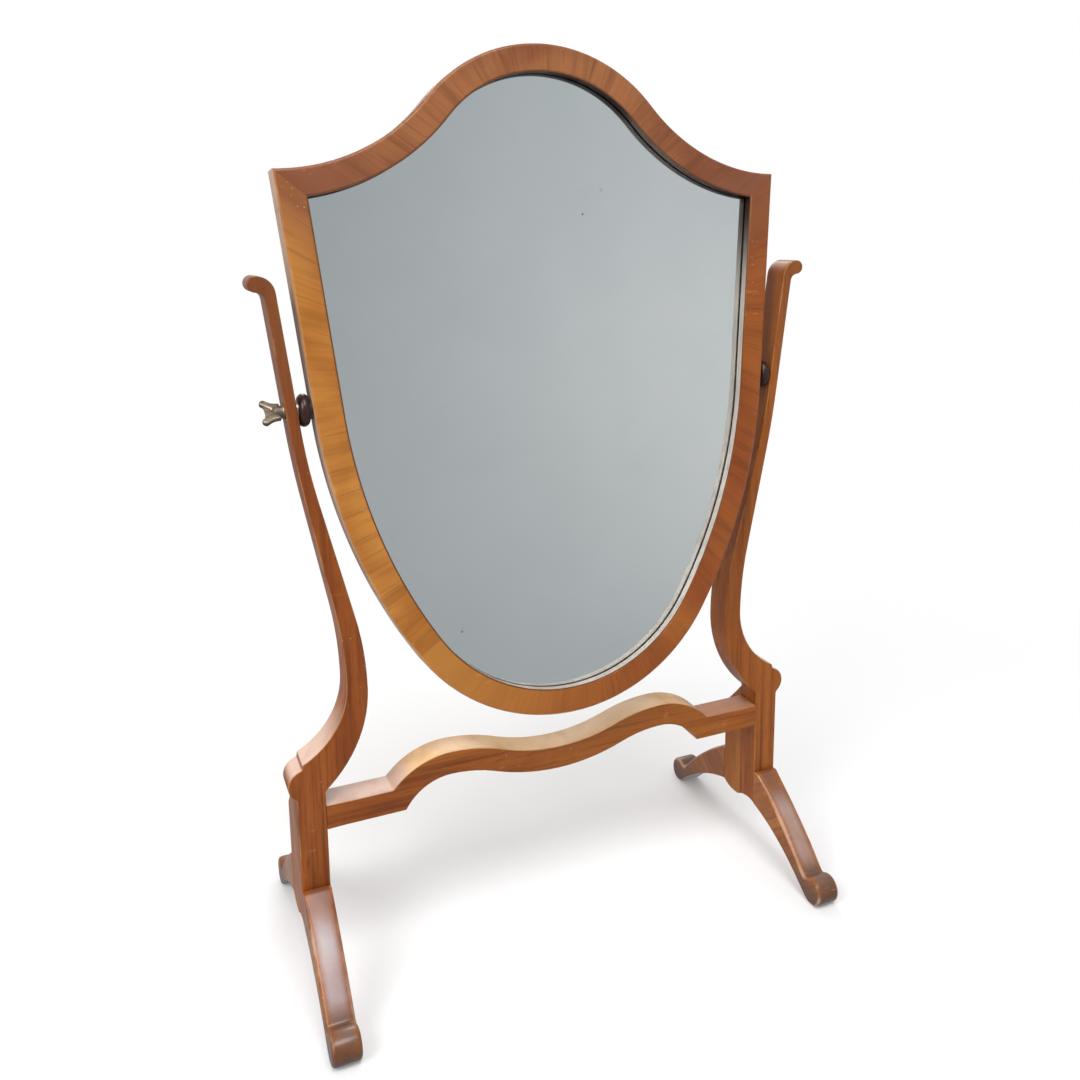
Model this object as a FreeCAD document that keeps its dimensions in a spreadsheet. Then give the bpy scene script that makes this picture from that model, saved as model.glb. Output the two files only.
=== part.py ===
import FreeCAD, Part
import math
import os
from collections import namedtuple

import Sketcher
from FreeCAD import Placement, Rotation, Vector

# Swing mirror for a dressing table: a shield-shaped looking glass in a crossbanded frame, hung between two
# swan-neck uprights on sabre legs. Millimetres. X runs to the right, Y to the back and Z up; the origin
# lies on the table, under the middle of the feet.

doc = FreeCAD.newDocument("dressing_table_mirror")
sheet = doc.addObject("Spreadsheet::Sheet", "Sheet")

SIZES = [
    # stock that the stand is sawn from
    ("stock_width", 20, "width of posts and legs, seen from the front"),
    ("stock_depth", 22, "thickness of the boards for uprights, stretcher and post blocks"),
    # sabre legs
    ("ledge_height", 72.5, "height of the ledge where a leg leaves its post"),
    ("ledge_depth", 4.5, "how far the ledge stands proud of the post"),
    ("leg_root", 43.5, "height of the leg's underside at the post"),
    ("toe_reach", 77, "post face to the middle of the rolled toe"),
    ("toe_radius", 10.8, "radius of the rolled toe"),
    ("toe_flat", 0.4, "depth of the worn flat under the toe"),
    ("crease_angle", 40, "where the top of the leg runs into the toe roll"),
    ("crease_radius", 3, "hollow between the top of the leg and the toe roll"),
    ("under_angle", 45, "slope of the underside where it leaves the toe"),
    ("leg_bow_radius", 300, "gentle bow along the top of the leg"),
    ("leg_cushion", 3, "rounding of the leg's top edges"),
    ("cusp_drop", 3, "pointed drop under the middle of the post"),
    ("dowel_radius", 2.5, "dowels between legs and posts"),
    ("dowel_in_leg", 9, "dowel depth in the leg"),
    ("dowel_in_post", 14, "dowel depth in the post"),
    # block behind each post
    ("block_rise", 8, "top of the post block above the stretcher"),
    ("block_fall", 23.5, "slope of the post block's top"),
    # swan-neck uprights, seen from the front
    ("knuckle_radius", 12, "radius of the rounded knuckle"),
    ("knuckle_bulge", 5.5, "knuckle beyond the post's outer face"),
    ("notch_set_in", 4.7, "notch inside the post's outer face"),
    ("notch_step", 3.6, "upright step from the notch down to the knuckle"),
    ("knee_clear", 10.9, "inner knee above the stretcher"),
    ("waist_set_in", 33, "inner waist inside the post's inner face"),
    ("waist_width", 15, "width of the upright at its waist"),
    ("waist_skew", 5, "outer waist above the inner one"),
    ("inner_knee_radius", 92, "curve from the inner waist down to the post"),
    ("outer_knee_radius", 58, "curve from the outer waist down to the notch"),
    ("belly_run", 27.2, "length of the belly curve on each side of its corner"),
    ("bend_run", 25, "length of the upper bend on each side of its corner"),
    ("upper_lean", 7, "outward lean of the upper part"),
    ("upper_width", 7.6, "width of the upright above the bend"),
    ("upper_rise", 126, "upper bend to the top of the scroll"),
    ("scroll_radius", 12.5, "outward curl of the top"),
    ("scroll_tip_radius", 5.3, "rounded tip of the curl"),
    # stretcher
    ("stretcher_base", 115, "underside of the stretcher's straight ends"),
    ("stretcher_height", 18, "height of the stretcher"),
    ("hump_offset", 88, "middle of the stretcher to the top of a hump"),
    ("hump_rise", 20, "hump above the straight ends"),
    ("dip_rise", 4.5, "middle dip above the straight ends"),
    ("hump_outer_radius", 58, "hump's outer curve"),
    ("hump_inner_radius", 120, "hump's inner curve"),
    ("tenon_length", 12, "stretcher tenon in the post"),
    ("tenon_height", 11, "stretcher tenon"),
    ("tenon_thick", 8, "stretcher tenon"),
    ("wood_fit", 0.1, "clearance round tenons and dowels"),
    # shield frame, measured from the pivot axis
    ("shield_half", 190, "half width at the top corners"),
    ("corner_height", 154.6, "corners above the pivot"),
    ("crown_rise", 87.4, "top of the crown above the corners"),
    ("bottom_drop", 237.5, "lowest point below the pivot"),
    ("crown_radius", 112.6, "crown curve"),
    ("side_lean", 5.8, "inward lean of the sides below the corners"),
    ("side_radius", 380, "curve of the sides"),
    ("bottom_set_in", 54, "radius of the bottom curve, less than the half width by this"),
    ("face_width", 18.5, "width of the crossbanded face"),
    ("frame_depth", 18, "thickness of the frame with its veneer"),
    ("veneer_thick", 1, "crossband veneer"),
    ("slip_thick", 0.8, "pale slip round the sight edge"),
    ("slip_fit", 0.05, "clearance behind the slip"),
    ("sight_depth", 6, "frame front to the glass"),
    ("rebate_width", 6, "rebate behind the sight edge"),
    ("glass_thick", 4, "looking glass"),
    ("glass_clearance", 0.5, "glass inside the rebate"),
    ("backboard_thick", 5, "backboard"),
    ("backboard_inset", 4, "backboard inside the frame's outline"),
    ("block_length", 24, "glass blocks behind the glass"),
    ("block_width", 6, "glass blocks"),
    ("block_gap", 3, "glass blocks clear of the backboard"),
    ("block_fit", 0.1, "glass blocks clear of the rebate wall"),
    ("screw_radius", 1.5, "backboard screws"),
    ("screw_length", 9, "backboard screws in the frame"),
    ("screw_head_radius", 3, "backboard screws"),
    ("screw_head_height", 1.8, "backboard screws"),
    ("screw_fit", 0.05, "clearance round the backboard screws"),
    ("upper_screw_drop", 40, "upper side screws below the corners"),
    ("lower_screw_drop", 90, "lower side screws below the pivot"),
    # pivots
    ("swing_clearance", 22, "upright frame above the stretcher's humps"),
    ("pivot_rise", 37.5, "pivot axis above the upper bend"),
    ("pivot_set_back", 9, "pivot axis behind the uprights' front"),
    ("axis_to_back", 7, "pivot axis to the back of the frame"),
    ("rest_lean", 5.6, "backward lean of the glass at rest"),
    ("shank_radius", 2.5, "pivot screws"),
    ("shank_fit", 0.08, "running clearance of the pivot screws"),
    ("shank_engagement", 7, "pivot screws in the threaded sockets"),
    ("socket_flange_radius", 6.4, "threaded socket in the frame's edge"),
    ("socket_flange_thick", 2.4, "threaded socket"),
    ("socket_barrel_radius", 4, "threaded socket"),
    ("socket_barrel_length", 8.5, "threaded socket"),
    ("spot_depth", 1.5, "flat sunk in the frame's edge for the socket"),
    ("upright_spot_depth", 0.9, "flats sunk in the upright for washer and screw"),
    ("washer_radius", 6.5, "pivot washers"),
    ("washer_thick", 0.8, "pivot washers"),
    ("collar_washer_thick", 2.2, "thicker washer at the upright"),
    ("boss_end_radius", 8.5, "turned boss between frame and upright, at its ends"),
    ("boss_swell", 2.5, "swell of the boss between its ends"),
    ("boss_length", 7, "turned boss"),
    ("pivot_play", 0.1, "end play at the upright"),
    ("collar_radius", 5, "collar of the pivot screws"),
    ("collar_thick", 2.2, "collar of the pivot screws"),
    ("neck_radius", 3.8, "neck of the thumbscrew"),
    ("wing_offset", 3.5, "collar to the wings of the thumbscrew"),
    ("wing_length", 10, "wings of the thumbscrew"),
    ("wing_half", 12.5, "half span of the wings"),
    ("wing_lobe_radius", 3.5, "rounded ends of the wings"),
    ("wing_thick", 3.8, "thickness of the wings"),
    ("wing_turn", 52, "turn of the wings from upright"),
]
for row, (alias, value, note) in enumerate(SIZES, start=1):
    sheet.set("A%d" % row, note)
    sheet.set("B%d" % row, str(value))
    sheet.setAlias("B%d" % row, alias)
doc.recompute()
Sizes = namedtuple("Sizes", [alias for alias, value, note in SIZES])
s = Sizes(*[float(sheet.get(alias)) for alias, value, note in SIZES])

# An outline is a closed list of edges in its plane. An edge with a centre is an arc; turn is 1 where it
# runs anticlockwise and -1 where it runs clockwise; bound is the sheet formula for its radius.
Edge = namedtuple("Edge", "start end centre turn bound")


def line(start, end):
    return Edge(start, end, None, 0, None)


def arc(start, end, centre, turn, bound=None):
    return Edge(start, end, centre, turn, bound)


def backwards(edges):
    return [Edge(e.end, e.start, e.centre, -e.turn, e.bound) for e in reversed(edges)]


def flipped(edges):
    """The same outline on the other side of the upright axis."""
    def other(point):
        return point and (-point[0], point[1])
    return [Edge(other(e.start), other(e.end), other(e.centre), -e.turn, e.bound) for e in edges]


def polygon(points):
    return [line(a, b) for a, b in zip(points, points[1:] + points[:1])]


def circle(centre, radius, bound=None):
    right = (centre[0] + radius, centre[1])
    return [arc(right, right, centre, 1, bound)]


def polar(centre, radius, degrees):
    angle = math.radians(degrees)
    return (centre[0] + radius * math.cos(angle), centre[1] + radius * math.sin(angle))


def towards(centre, other, radius):
    """The point at a distance from the centre on the way to another point."""
    length = math.dist(centre, other)
    return tuple(c + (o - c) * radius / length for c, o in zip(centre, other))


def arc_from(start, heading, end, turn):
    """The arc that leaves start along a heading in degrees and ends at a given point."""
    side = math.radians(heading + 90 * turn)
    normal = (math.cos(side), math.sin(side))
    chord = (end[0] - start[0], end[1] - start[1])
    radius = (chord[0] ** 2 + chord[1] ** 2) / (2 * (normal[0] * chord[0] + normal[1] * chord[1]))
    centre = (start[0] + normal[0] * radius, start[1] + normal[1] * radius)
    return arc(start, end, centre, turn)


def meet(first, first_radius, second, second_radius):
    """The upper one of the two points where two circles meet."""
    apart = math.dist(first, second)
    along = (apart ** 2 + first_radius ** 2 - second_radius ** 2) / (2 * apart)
    aside = math.sqrt(first_radius ** 2 - along ** 2)
    way = ((second[0] - first[0]) / apart, (second[1] - first[1]) / apart)
    foot = (first[0] + way[0] * along, first[1] + way[1] * along)
    found = [(foot[0] - way[1] * k, foot[1] + way[0] * k) for k in (aside, -aside)]
    return max(found, key=lambda point: point[1])


def line_meets(start, heading, centre, radius, way):
    """Where a line along a heading in degrees goes into a circle (way -1) or comes out of it (way 1)."""
    ahead = polar((0.0, 0.0), 1.0, heading)
    offset = (start[0] - centre[0], start[1] - centre[1])
    along = offset[0] * ahead[0] + offset[1] * ahead[1]
    half = math.sqrt(along ** 2 - offset[0] ** 2 - offset[1] ** 2 + radius ** 2)
    return polar(start, way * half - along, heading)


def rounded_corner(before, corner, after, run):
    """The arc that rounds a corner, starting and ending at a distance from it called the run."""
    start = towards(corner, before, run)
    end = towards(corner, after, run)
    middle = ((start[0] + end[0]) / 2, (start[1] + end[1]) / 2)
    centre = towards(corner, middle, run ** 2 / math.dist(corner, middle))
    along = (corner[0] - before[0], corner[1] - before[1])
    onward = (after[0] - corner[0], after[1] - corner[1])
    cross = along[0] * onward[1] - along[1] * onward[0]
    return arc(start, end, centre, 1 if cross > 0 else -1)


def geometry(edge):
    start = Vector(*edge.start, 0)
    end = Vector(*edge.end, 0)
    if edge.centre is None:
        return Part.LineSegment(start, end)
    radius = math.dist(edge.centre, edge.start)
    if edge.start == edge.end:
        return Part.Circle(Vector(*edge.centre, 0), Vector(0, 0, 1), radius)
    ends = (edge.start, edge.end)
    first, last = [math.atan2(p[1] - edge.centre[1], p[0] - edge.centre[0]) for p in ends]
    sweep = (last - first) * edge.turn % (2 * math.pi) * edge.turn
    middle = polar(edge.centre, radius, math.degrees(first + sweep / 2))
    return Part.Arc(start, Vector(*middle, 0), end)


pieces = {}


def new_body(label, frame=None):
    """An empty body; frame is a function that places it in the assembly."""
    body = doc.addObject("PartDesign::Body", label)
    body.Label = label
    if frame:
        frame(body)
    pieces[label] = body
    return body


# the pivot axis is as high as the frame needs to swing over the stretcher
stretcher_top = s.stretcher_base + s.stretcher_height
pivot_y = s.pivot_set_back - s.stock_depth
pivot_z = stretcher_top + s.hump_rise + s.swing_clearance + s.bottom_drop
PIVOT_Y = "Sheet.pivot_set_back - Sheet.stock_depth"
PIVOT_Z = ("Sheet.stretcher_base + Sheet.stretcher_height + Sheet.hump_rise"
           " + Sheet.swing_clearance + Sheet.bottom_drop")


def beside_pivot(item, turn="0"):
    """Place a piece that is drawn about the pivot axis; turn is the formula for how far it leans back."""
    item.Placement = Placement(Vector(0, pivot_y, pivot_z), Rotation(Vector(-1, 0, 0), 1))
    item.setExpression(".Placement.Base.y", PIVOT_Y)
    item.setExpression(".Placement.Base.z", PIVOT_Z)
    item.setExpression(".Placement.Rotation.Angle", turn)


def on_pivot(item):
    """Place a piece of the frame, which leans back at rest."""
    beside_pivot(item, "Sheet.rest_lean")


def with_wings(item):
    """Place the thumbscrew, with its wings turned as they stand at rest."""
    beside_pivot(item, "Sheet.wing_turn")


def draw(body, name, role, offset, loops):
    """A sketch on one of the body's own planes, moved along the plane's normal by a sheet formula."""
    sketch = body.newObject("Sketcher::SketchObject", name)
    plane = [f for f in body.Origin.OriginFeatures if f.Role == role][0]
    sketch.AttachmentSupport = (plane, [""])
    sketch.MapMode = "FlatFace"
    sketch.setExpression("AttachmentOffset.Base.z", offset)
    for loop in loops:
        ids = [sketch.addGeometry(geometry(edge), False) for edge in loop]
        for edge, after, this_id, next_id in zip(loop, loop[1:] + loop[:1], ids, ids[1:] + ids[:1]):
            end = 1 if edge.turn == -1 else 2
            start = 2 if after.turn == -1 else 1
            if this_id != next_id:
                sketch.addConstraint(Sketcher.Constraint("Coincident", this_id, end, next_id, start))
            if edge.bound:
                radius = math.dist(edge.centre, edge.start)
                k = sketch.addConstraint(Sketcher.Constraint("Radius", this_id, radius))
                sketch.setExpression("Constraints[%d]" % k, edge.bound)
    return sketch


def feature(body, kind, name, sketch, length, reverse):
    item = body.newObject("PartDesign::" + kind, name)
    item.Profile = sketch
    item.setExpression("Length", length)
    item.Reversed = reverse
    return item


def pad_back(body, name, front, loops, depth):
    """A board seen from the front: it starts at the depth called front and runs backwards."""
    sketch = draw(body, name + "_outline", "XZ_Plane", "-(%s)" % front, loops)
    return feature(body, "Pad", name, sketch, depth, True)


def pad_across(body, name, left, loops, width):
    """A piece seen from the side: it starts at the place called left and runs to the right."""
    sketch = draw(body, name + "_outline", "YZ_Plane", left, loops)
    return feature(body, "Pad", name, sketch, width, False)


def cut(body, name, role, offset, loops, depth, along_normal):
    """A pocket from a plane, which has to take wood away."""
    doc.recompute()
    before = body.Shape.Volume
    sketch = draw(body, name + "_outline", role, offset, loops)
    feature(body, "Pocket", name, sketch, depth, along_normal)
    doc.recompute()
    if not body.Shape.Volume < before:
        raise RuntimeError("%s cuts nothing" % name)


def turned(label, profile, frame):
    """A turned piece about the X axis; the profile is a closed outline of (x, radius) edges."""
    body = new_body(label, frame)
    sketch = draw(body, label + "_profile", "XY_Plane", "0", [profile])
    item = body.newObject("PartDesign::Revolution", label + "_turned")
    item.Profile = sketch
    item.ReferenceAxis = (sketch, ["H_Axis"])
    item.Angle = 360
    return body


# Shield outline about the pivot axis. Every line round the frame is the outer outline moved inwards by
# an inset.
crown_centre = (0.0, s.corner_height + s.crown_rise - s.crown_radius)
shoulder_radius = (s.shield_half ** 2 + s.crown_rise ** 2) / (2 * s.crown_rise) - s.crown_radius
shoulder_centre = (s.shield_half, s.corner_height + shoulder_radius)
# from the corner the side leans in; below a straight stretch it curves and runs smoothly into the bottom
bottom_radius = s.shield_half - s.bottom_set_in
bottom_centre = (0.0, bottom_radius - s.bottom_drop)
corner_point = (s.shield_half, s.corner_height)
side_heading = -90 - s.side_lean
side_inwards = 180 - s.side_lean
side_centre = line_meets(polar(corner_point, s.side_radius, side_inwards), side_heading, bottom_centre,
                         s.side_radius - bottom_radius, -1)


def shield_corner(inset):
    start = polar(corner_point, inset, side_inwards)
    return line_meets(start, side_heading, shoulder_centre, shoulder_radius + inset, 1)


def straight_end(inset):
    """Where the side begins to curve."""
    return polar(side_centre, s.side_radius - inset, -s.side_lean)


def side_end(inset):
    """Where the side runs into the bottom curve."""
    return towards(side_centre, bottom_centre, s.side_radius - inset)


def top_edge(inset):
    """From the right corner over the crown to the left corner."""
    swing = towards(crown_centre, shoulder_centre, s.crown_radius - inset)
    shoulder = [arc(shield_corner(inset), swing, shoulder_centre, -1)]
    other_swing = (-swing[0], swing[1])
    return shoulder + [arc(swing, other_swing, crown_centre, 1)] + backwards(flipped(shoulder))


def side_edge(inset):
    """Down the right side, from the corner to the bottom curve."""
    bend_start = straight_end(inset)
    return [line(shield_corner(inset), bend_start), arc(bend_start, side_end(inset), side_centre, -1)]


def bottom_edge(inset):
    """Along the bottom curve from right to left."""
    end = side_end(inset)
    return [arc(end, (-end[0], end[1]), bottom_centre, -1)]


def shield(inset):
    """The whole closed outline, clockwise from the right corner."""
    right = side_edge(inset)
    return right + bottom_edge(inset) + backwards(flipped(right)) + backwards(top_edge(inset))


def between(edge, outer_inset, inner_inset):
    """A stretch of the frame between two insets, closed by its joints."""
    outer = edge(outer_inset)
    inner = backwards(edge(inner_inset))
    return outer + [line(outer[-1].end, inner[0].start)] + inner + [line(inner[-1].end, outer[0].start)]


def side_point(height):
    """The point of the right side at a height, and how far the side leans there in degrees."""
    if height > straight_end(0.0)[1]:
        run = (s.corner_height - height) * math.tan(math.radians(s.side_lean))
        return (s.shield_half - run, height), s.side_lean
    lean = math.degrees(math.asin((side_centre[1] - height) / s.side_radius))
    return polar(side_centre, s.side_radius, -lean), lean


def plain(value):
    """A worked-out place as text for a sketch offset."""
    return "%.9f" % value


# Pivot stack on the right, from the frame's edge outwards: socket, washer, boss, washer, upright and
# screw head
frame_edge = side_point(0.0)[0][0]
socket_face_x = frame_edge - s.spot_depth
flange_face = socket_face_x + s.socket_flange_thick
boss_start = flange_face + s.washer_thick
boss_end = boss_start + s.boss_length
upright_washer = boss_end + s.pivot_play
pivot_inner_x = upright_washer + s.collar_washer_thick
upright_edge = pivot_inner_x - s.upright_spot_depth
pivot_outer_x = upright_edge + s.upper_width - s.upright_spot_depth
collar_start = pivot_outer_x + s.pivot_play
shank_tip = socket_face_x - s.shank_engagement
shank_hole = s.shank_radius + s.shank_fit

# The straight upper part of an upright leans through the pivot; the post stands under its lower end.
lean_slope = math.tan(math.radians(s.upper_lean))
bend = (upright_edge - s.pivot_rise * lean_slope, pivot_z - s.pivot_rise)
post_in = bend[0]
post_out = post_in + s.stock_width
front = -s.stock_depth
side_names = (("left", -1), ("right", 1))
side_start = {"left": plain(-post_out), "right": plain(post_in)}
inner_face = {"left": plain(-post_in), "right": plain(post_in)}


# Side view of the feet, drawn for the front leg
toe = (front - s.toe_reach, s.toe_radius - s.toe_flat)
root_top = (front, s.ledge_height)
root_low = (front, s.leg_root)
toe_leave = polar(toe, s.toe_radius, -s.under_angle)
underside = arc_from(toe_leave, s.under_angle, root_low, -1)
root_slope = math.degrees(math.atan2(root_low[0] - underside.centre[0], root_low[1] - underside.centre[1]))
# under the post the curve of the leg runs on into a pointed drop
cusp = (0.0, s.leg_root - s.cusp_drop)
arch = arc_from(root_low, -root_slope, cusp, -1)


def leg_outline():
    crease = polar(toe, s.toe_radius, s.crease_angle)
    lip = (front - s.ledge_depth, s.ledge_height)
    span = math.dist(lip, crease)
    square = math.degrees(math.atan2(crease[1] - lip[1], crease[0] - lip[0]))
    half_turn = math.degrees(math.asin(span / 2 / s.leg_bow_radius))
    bow = arc_from(lip, square - half_turn, crease, 1).centre
    # hollow that eases the top of the leg into the toe roll
    hollow = meet(bow, s.leg_bow_radius + s.crease_radius, toe, s.toe_radius + s.crease_radius)
    hollow_start = towards(bow, hollow, s.leg_bow_radius)
    hollow_end = towards(toe, hollow, s.toe_radius)
    flat = math.sqrt(s.toe_radius ** 2 - (s.toe_radius - s.toe_flat) ** 2)
    flat_front = (toe[0] - flat, 0.0)
    flat_back = (toe[0] + flat, 0.0)
    return [
        line(root_low, root_top),
        line(root_top, lip),
        arc(lip, hollow_start, bow, 1),
        arc(hollow_start, hollow_end, hollow, -1),
        arc(hollow_end, flat_front, toe, 1, "Sheet.toe_radius"),
        line(flat_front, flat_back),
        arc(flat_back, toe_leave, toe, 1),
        underside,
    ]


def leg_dowel_spots():
    """Heights that divide the joint into three."""
    third = (s.ledge_height - s.leg_root) / 3
    return [s.leg_root + third, s.leg_root + 2 * third]


def dowel_holes(side):
    x = side * (post_in + s.stock_width / 2)
    bound = "Sheet.dowel_radius + Sheet.wood_fit"
    return [circle((x, z), s.dowel_radius + s.wood_fit, bound) for z in leg_dowel_spots()]


def cushion(body, pad):
    """Round the two long edges along the top of a leg."""
    doc.recompute()
    names = []
    for number, edge in enumerate(pad.Shape.Edges, start=1):
        curve = edge.Curve
        if isinstance(curve, Part.Circle) and abs(curve.Radius - s.leg_bow_radius) < 0.01:
            names.append("Edge%d" % number)
    item = body.newObject("PartDesign::Fillet", pad.Name + "_cushion")
    item.Base = (pad, names)
    item.setExpression("Radius", "Sheet.leg_cushion")


def make_leg(name, side, place):
    body = new_body("%s_%s_leg" % (name, place))
    outline = leg_outline() if place == "front" else flipped(leg_outline())
    pad = pad_across(body, body.Label + "_blank", side_start[name], [outline], "Sheet.stock_width")
    cushion(body, pad)
    start = "Sheet.stock_depth" if place == "front" else "-Sheet.stock_depth"
    depth = "Sheet.dowel_in_leg + Sheet.wood_fit"
    cut(body, body.Label + "_dowels", "XZ_Plane", start, dowel_holes(side), depth, place == "front")


def make_post_block(name, side):
    """Block glued behind the post, which makes it deep enough for the back leg."""
    body = new_body(name + "_post_block")
    back = s.stock_depth
    top = stretcher_top + s.block_rise
    shoulder = top - s.block_fall
    foot = flipped([arch])
    outline = foot + [
        line(foot[0].end, (0.0, top)),
        line((0.0, top), (back, shoulder)),
        line((back, shoulder), foot[0].start),
    ]
    pad_across(body, body.Label + "_blank", side_start[name], [outline], "Sheet.stock_width")
    depth = "Sheet.dowel_in_post + Sheet.wood_fit"
    cut(body, body.Label + "_dowels", "XZ_Plane", "-Sheet.stock_depth", dowel_holes(side), depth, True)


# Front view of the upright on the right
def upper_edge(height):
    """Inner edge of the straight upper part at a height."""
    return bend[0] + (height - bend[1]) * lean_slope


def swan_neck(waist, bend_x, top_point):
    """One edge of the neck, from its waist up to the top: belly curve, straight run, bend, straight run."""
    corner = (bend_x, bend[1])
    swell = (waist[0], waist[1] + s.belly_run)
    belly = rounded_corner(waist, swell, corner, s.belly_run)
    turn = rounded_corner(swell, corner, top_point, s.bend_run)
    return [belly, line(belly.end, turn.start), turn, line(turn.end, top_point)]


def upright_outline():
    # the inner knee starts on the post, clear of the stretcher, and gives the height of the waists
    waist_x = post_in - s.waist_set_in
    knee_drop = math.sqrt(s.inner_knee_radius ** 2 - (s.inner_knee_radius - s.waist_set_in) ** 2)
    foot_in = (post_in, stretcher_top + s.knee_clear)
    waist_in = (waist_x, foot_in[1] + knee_drop)
    knee_in = (waist_x + s.inner_knee_radius, waist_in[1])
    waist_out = (waist_x + s.waist_width, waist_in[1] + s.waist_skew)
    # scroll: a curl tangent to the inner edge, a half round tip and a hollow under it
    cos_lean = math.cos(math.radians(s.upper_lean))
    scroll_top = bend[1] + s.upper_rise
    curl_z = scroll_top - s.scroll_radius
    curl = (upper_edge(curl_z) + s.scroll_radius / cos_lean, curl_z)
    curl_start = polar(curl, s.scroll_radius, 180 - s.upper_lean)
    tip = (curl[0], scroll_top - s.scroll_tip_radius)
    tip_top = (curl[0], scroll_top)
    tip_low = (curl[0], scroll_top - 2 * s.scroll_tip_radius)
    overhang = tip_low[0] - upper_edge(tip_low[1]) - s.upper_width
    hollow_radius = overhang / (1 / cos_lean - lean_slope)
    hollow = (tip_low[0], tip_low[1] - hollow_radius)
    hollow_end = polar(hollow, hollow_radius, 180 - s.upper_lean)
    inner = swan_neck(waist_in, bend[0], curl_start)
    outer = swan_neck(waist_out, bend[0] + s.upper_width, hollow_end)
    # outer knee, and the knuckle under its notch
    knee_out = (waist_out[0] + s.outer_knee_radius, waist_out[1])
    notch_x = post_out - s.notch_set_in
    drop_out = math.sqrt(s.outer_knee_radius ** 2 - (knee_out[0] - notch_x) ** 2)
    notch = (notch_x, knee_out[1] - drop_out)
    knuckle_x = post_out + s.knuckle_bulge - s.knuckle_radius
    notch_rise = math.sqrt(s.knuckle_radius ** 2 - (notch_x - knuckle_x) ** 2)
    knuckle = (knuckle_x, notch[1] - s.notch_step - notch_rise)
    notch_low = (notch_x, knuckle[1] + notch_rise)
    knuckle_drop = math.sqrt(s.knuckle_radius ** 2 - (post_out - knuckle[0]) ** 2)
    knuckle_end = (post_out, knuckle[1] - knuckle_drop)
    return (
        [line((post_in, stretcher_top), foot_in)]
        + [arc(foot_in, waist_in, knee_in, -1, "Sheet.inner_knee_radius")]
        + inner
        + [
            arc(curl_start, tip_top, curl, -1, "Sheet.scroll_radius"),
            arc(tip_top, tip_low, tip, -1, "Sheet.scroll_tip_radius"),
            arc(tip_low, hollow_end, hollow, 1),
        ]
        + backwards(outer)
        + [
            arc(waist_out, notch, knee_out, 1, "Sheet.outer_knee_radius"),
            line(notch, notch_low),
            arc(notch_low, knuckle_end, knuckle, -1, "Sheet.knuckle_radius"),
            line(knuckle_end, (post_out, stretcher_top)),
            line((post_out, stretcher_top), (post_in, stretcher_top)),
        ]
    )


pivot_yz = (pivot_y, pivot_z)


def make_upright(name, side):
    """Swan neck, knuckle and front half of the post, in one board."""
    body = new_body(name + "_upright")
    neck = upright_outline() if side > 0 else flipped(upright_outline())
    pad_back(body, name + "_neck", "-Sheet.stock_depth", [neck], "Sheet.stock_depth")
    post = [
        arch,
        line(arch.end, (0.0, stretcher_top)),
        line((0.0, stretcher_top), (front, stretcher_top)),
        line((front, stretcher_top), arch.start),
    ]
    pad_across(body, name + "_post", side_start[name], [post], "Sheet.stock_width")
    depth = "Sheet.dowel_in_post + Sheet.wood_fit"
    cut(body, name + "_dowels", "XZ_Plane", "Sheet.stock_depth", dowel_holes(side), depth, False)
    mortise = [polygon(tenon_corners(s.wood_fit))]
    cut(body, name + "_mortise", "YZ_Plane", inner_face[name], mortise,
        "Sheet.tenon_length + Sheet.wood_fit", side > 0)
    # flats for the washer and the screw's collar, and the bore between them
    reach = s.stock_width
    inside = plain(side * (pivot_inner_x - reach))
    outside = plain(side * (pivot_outer_x + reach))
    washer_flat = circle(pivot_yz, s.washer_radius + s.wood_fit)
    collar_flat = circle(pivot_yz, s.collar_radius + s.wood_fit)
    bore = circle(pivot_yz, s.shank_radius + s.shank_fit, "Sheet.shank_radius + Sheet.shank_fit")
    cut(body, name + "_washer_flat", "YZ_Plane", inside, [washer_flat], plain(reach), side > 0)
    cut(body, name + "_collar_flat", "YZ_Plane", outside, [collar_flat], plain(reach), side < 0)
    cut(body, name + "_bore", "YZ_Plane", inside, [bore], plain(3 * reach), side > 0)


# Stretcher: straight ends, a hump at each side and a dip in the middle, with parallel edges
def tenon_corners(margin):
    """Side view of the tenon, with a margin all round for its mortise."""
    y = front + s.stock_depth / 2
    z = s.stretcher_base + s.stretcher_height / 2
    half_y = s.tenon_thick / 2 + margin
    half_z = s.tenon_height / 2 + margin
    signs = [(-1, -1), (1, -1), (1, 1), (-1, 1)]
    return [(y + a * half_y, z + b * half_z) for a, b in signs]


def stretcher_edge(inset):
    """One long edge of the stretcher from right to left, inset below the top edge."""
    peak = stretcher_top + s.hump_rise
    outer = s.hump_outer_radius - inset
    inner = s.hump_inner_radius - inset
    outer_centre = (s.hump_offset, peak - s.hump_outer_radius)
    inner_centre = (s.hump_offset, peak - s.hump_inner_radius)
    fall = s.hump_rise - s.dip_rise
    dip_radius = (s.hump_offset ** 2 + fall ** 2) / (2 * fall) - s.hump_inner_radius
    dip_centre = (0.0, stretcher_top + s.dip_rise + dip_radius)
    level = stretcher_top - inset
    shoulder_x = s.hump_offset + math.sqrt(outer ** 2 - (level - outer_centre[1]) ** 2)
    top = (s.hump_offset, peak - inset)
    swing = towards(inner_centre, dip_centre, inner)
    right = [
        line((post_in, level), (shoulder_x, level)),
        arc((shoulder_x, level), top, outer_centre, 1),
        arc(top, swing, inner_centre, 1),
    ]
    other_swing = (-swing[0], swing[1])
    return right + [arc(swing, other_swing, dip_centre, -1)] + backwards(flipped(right))


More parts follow.
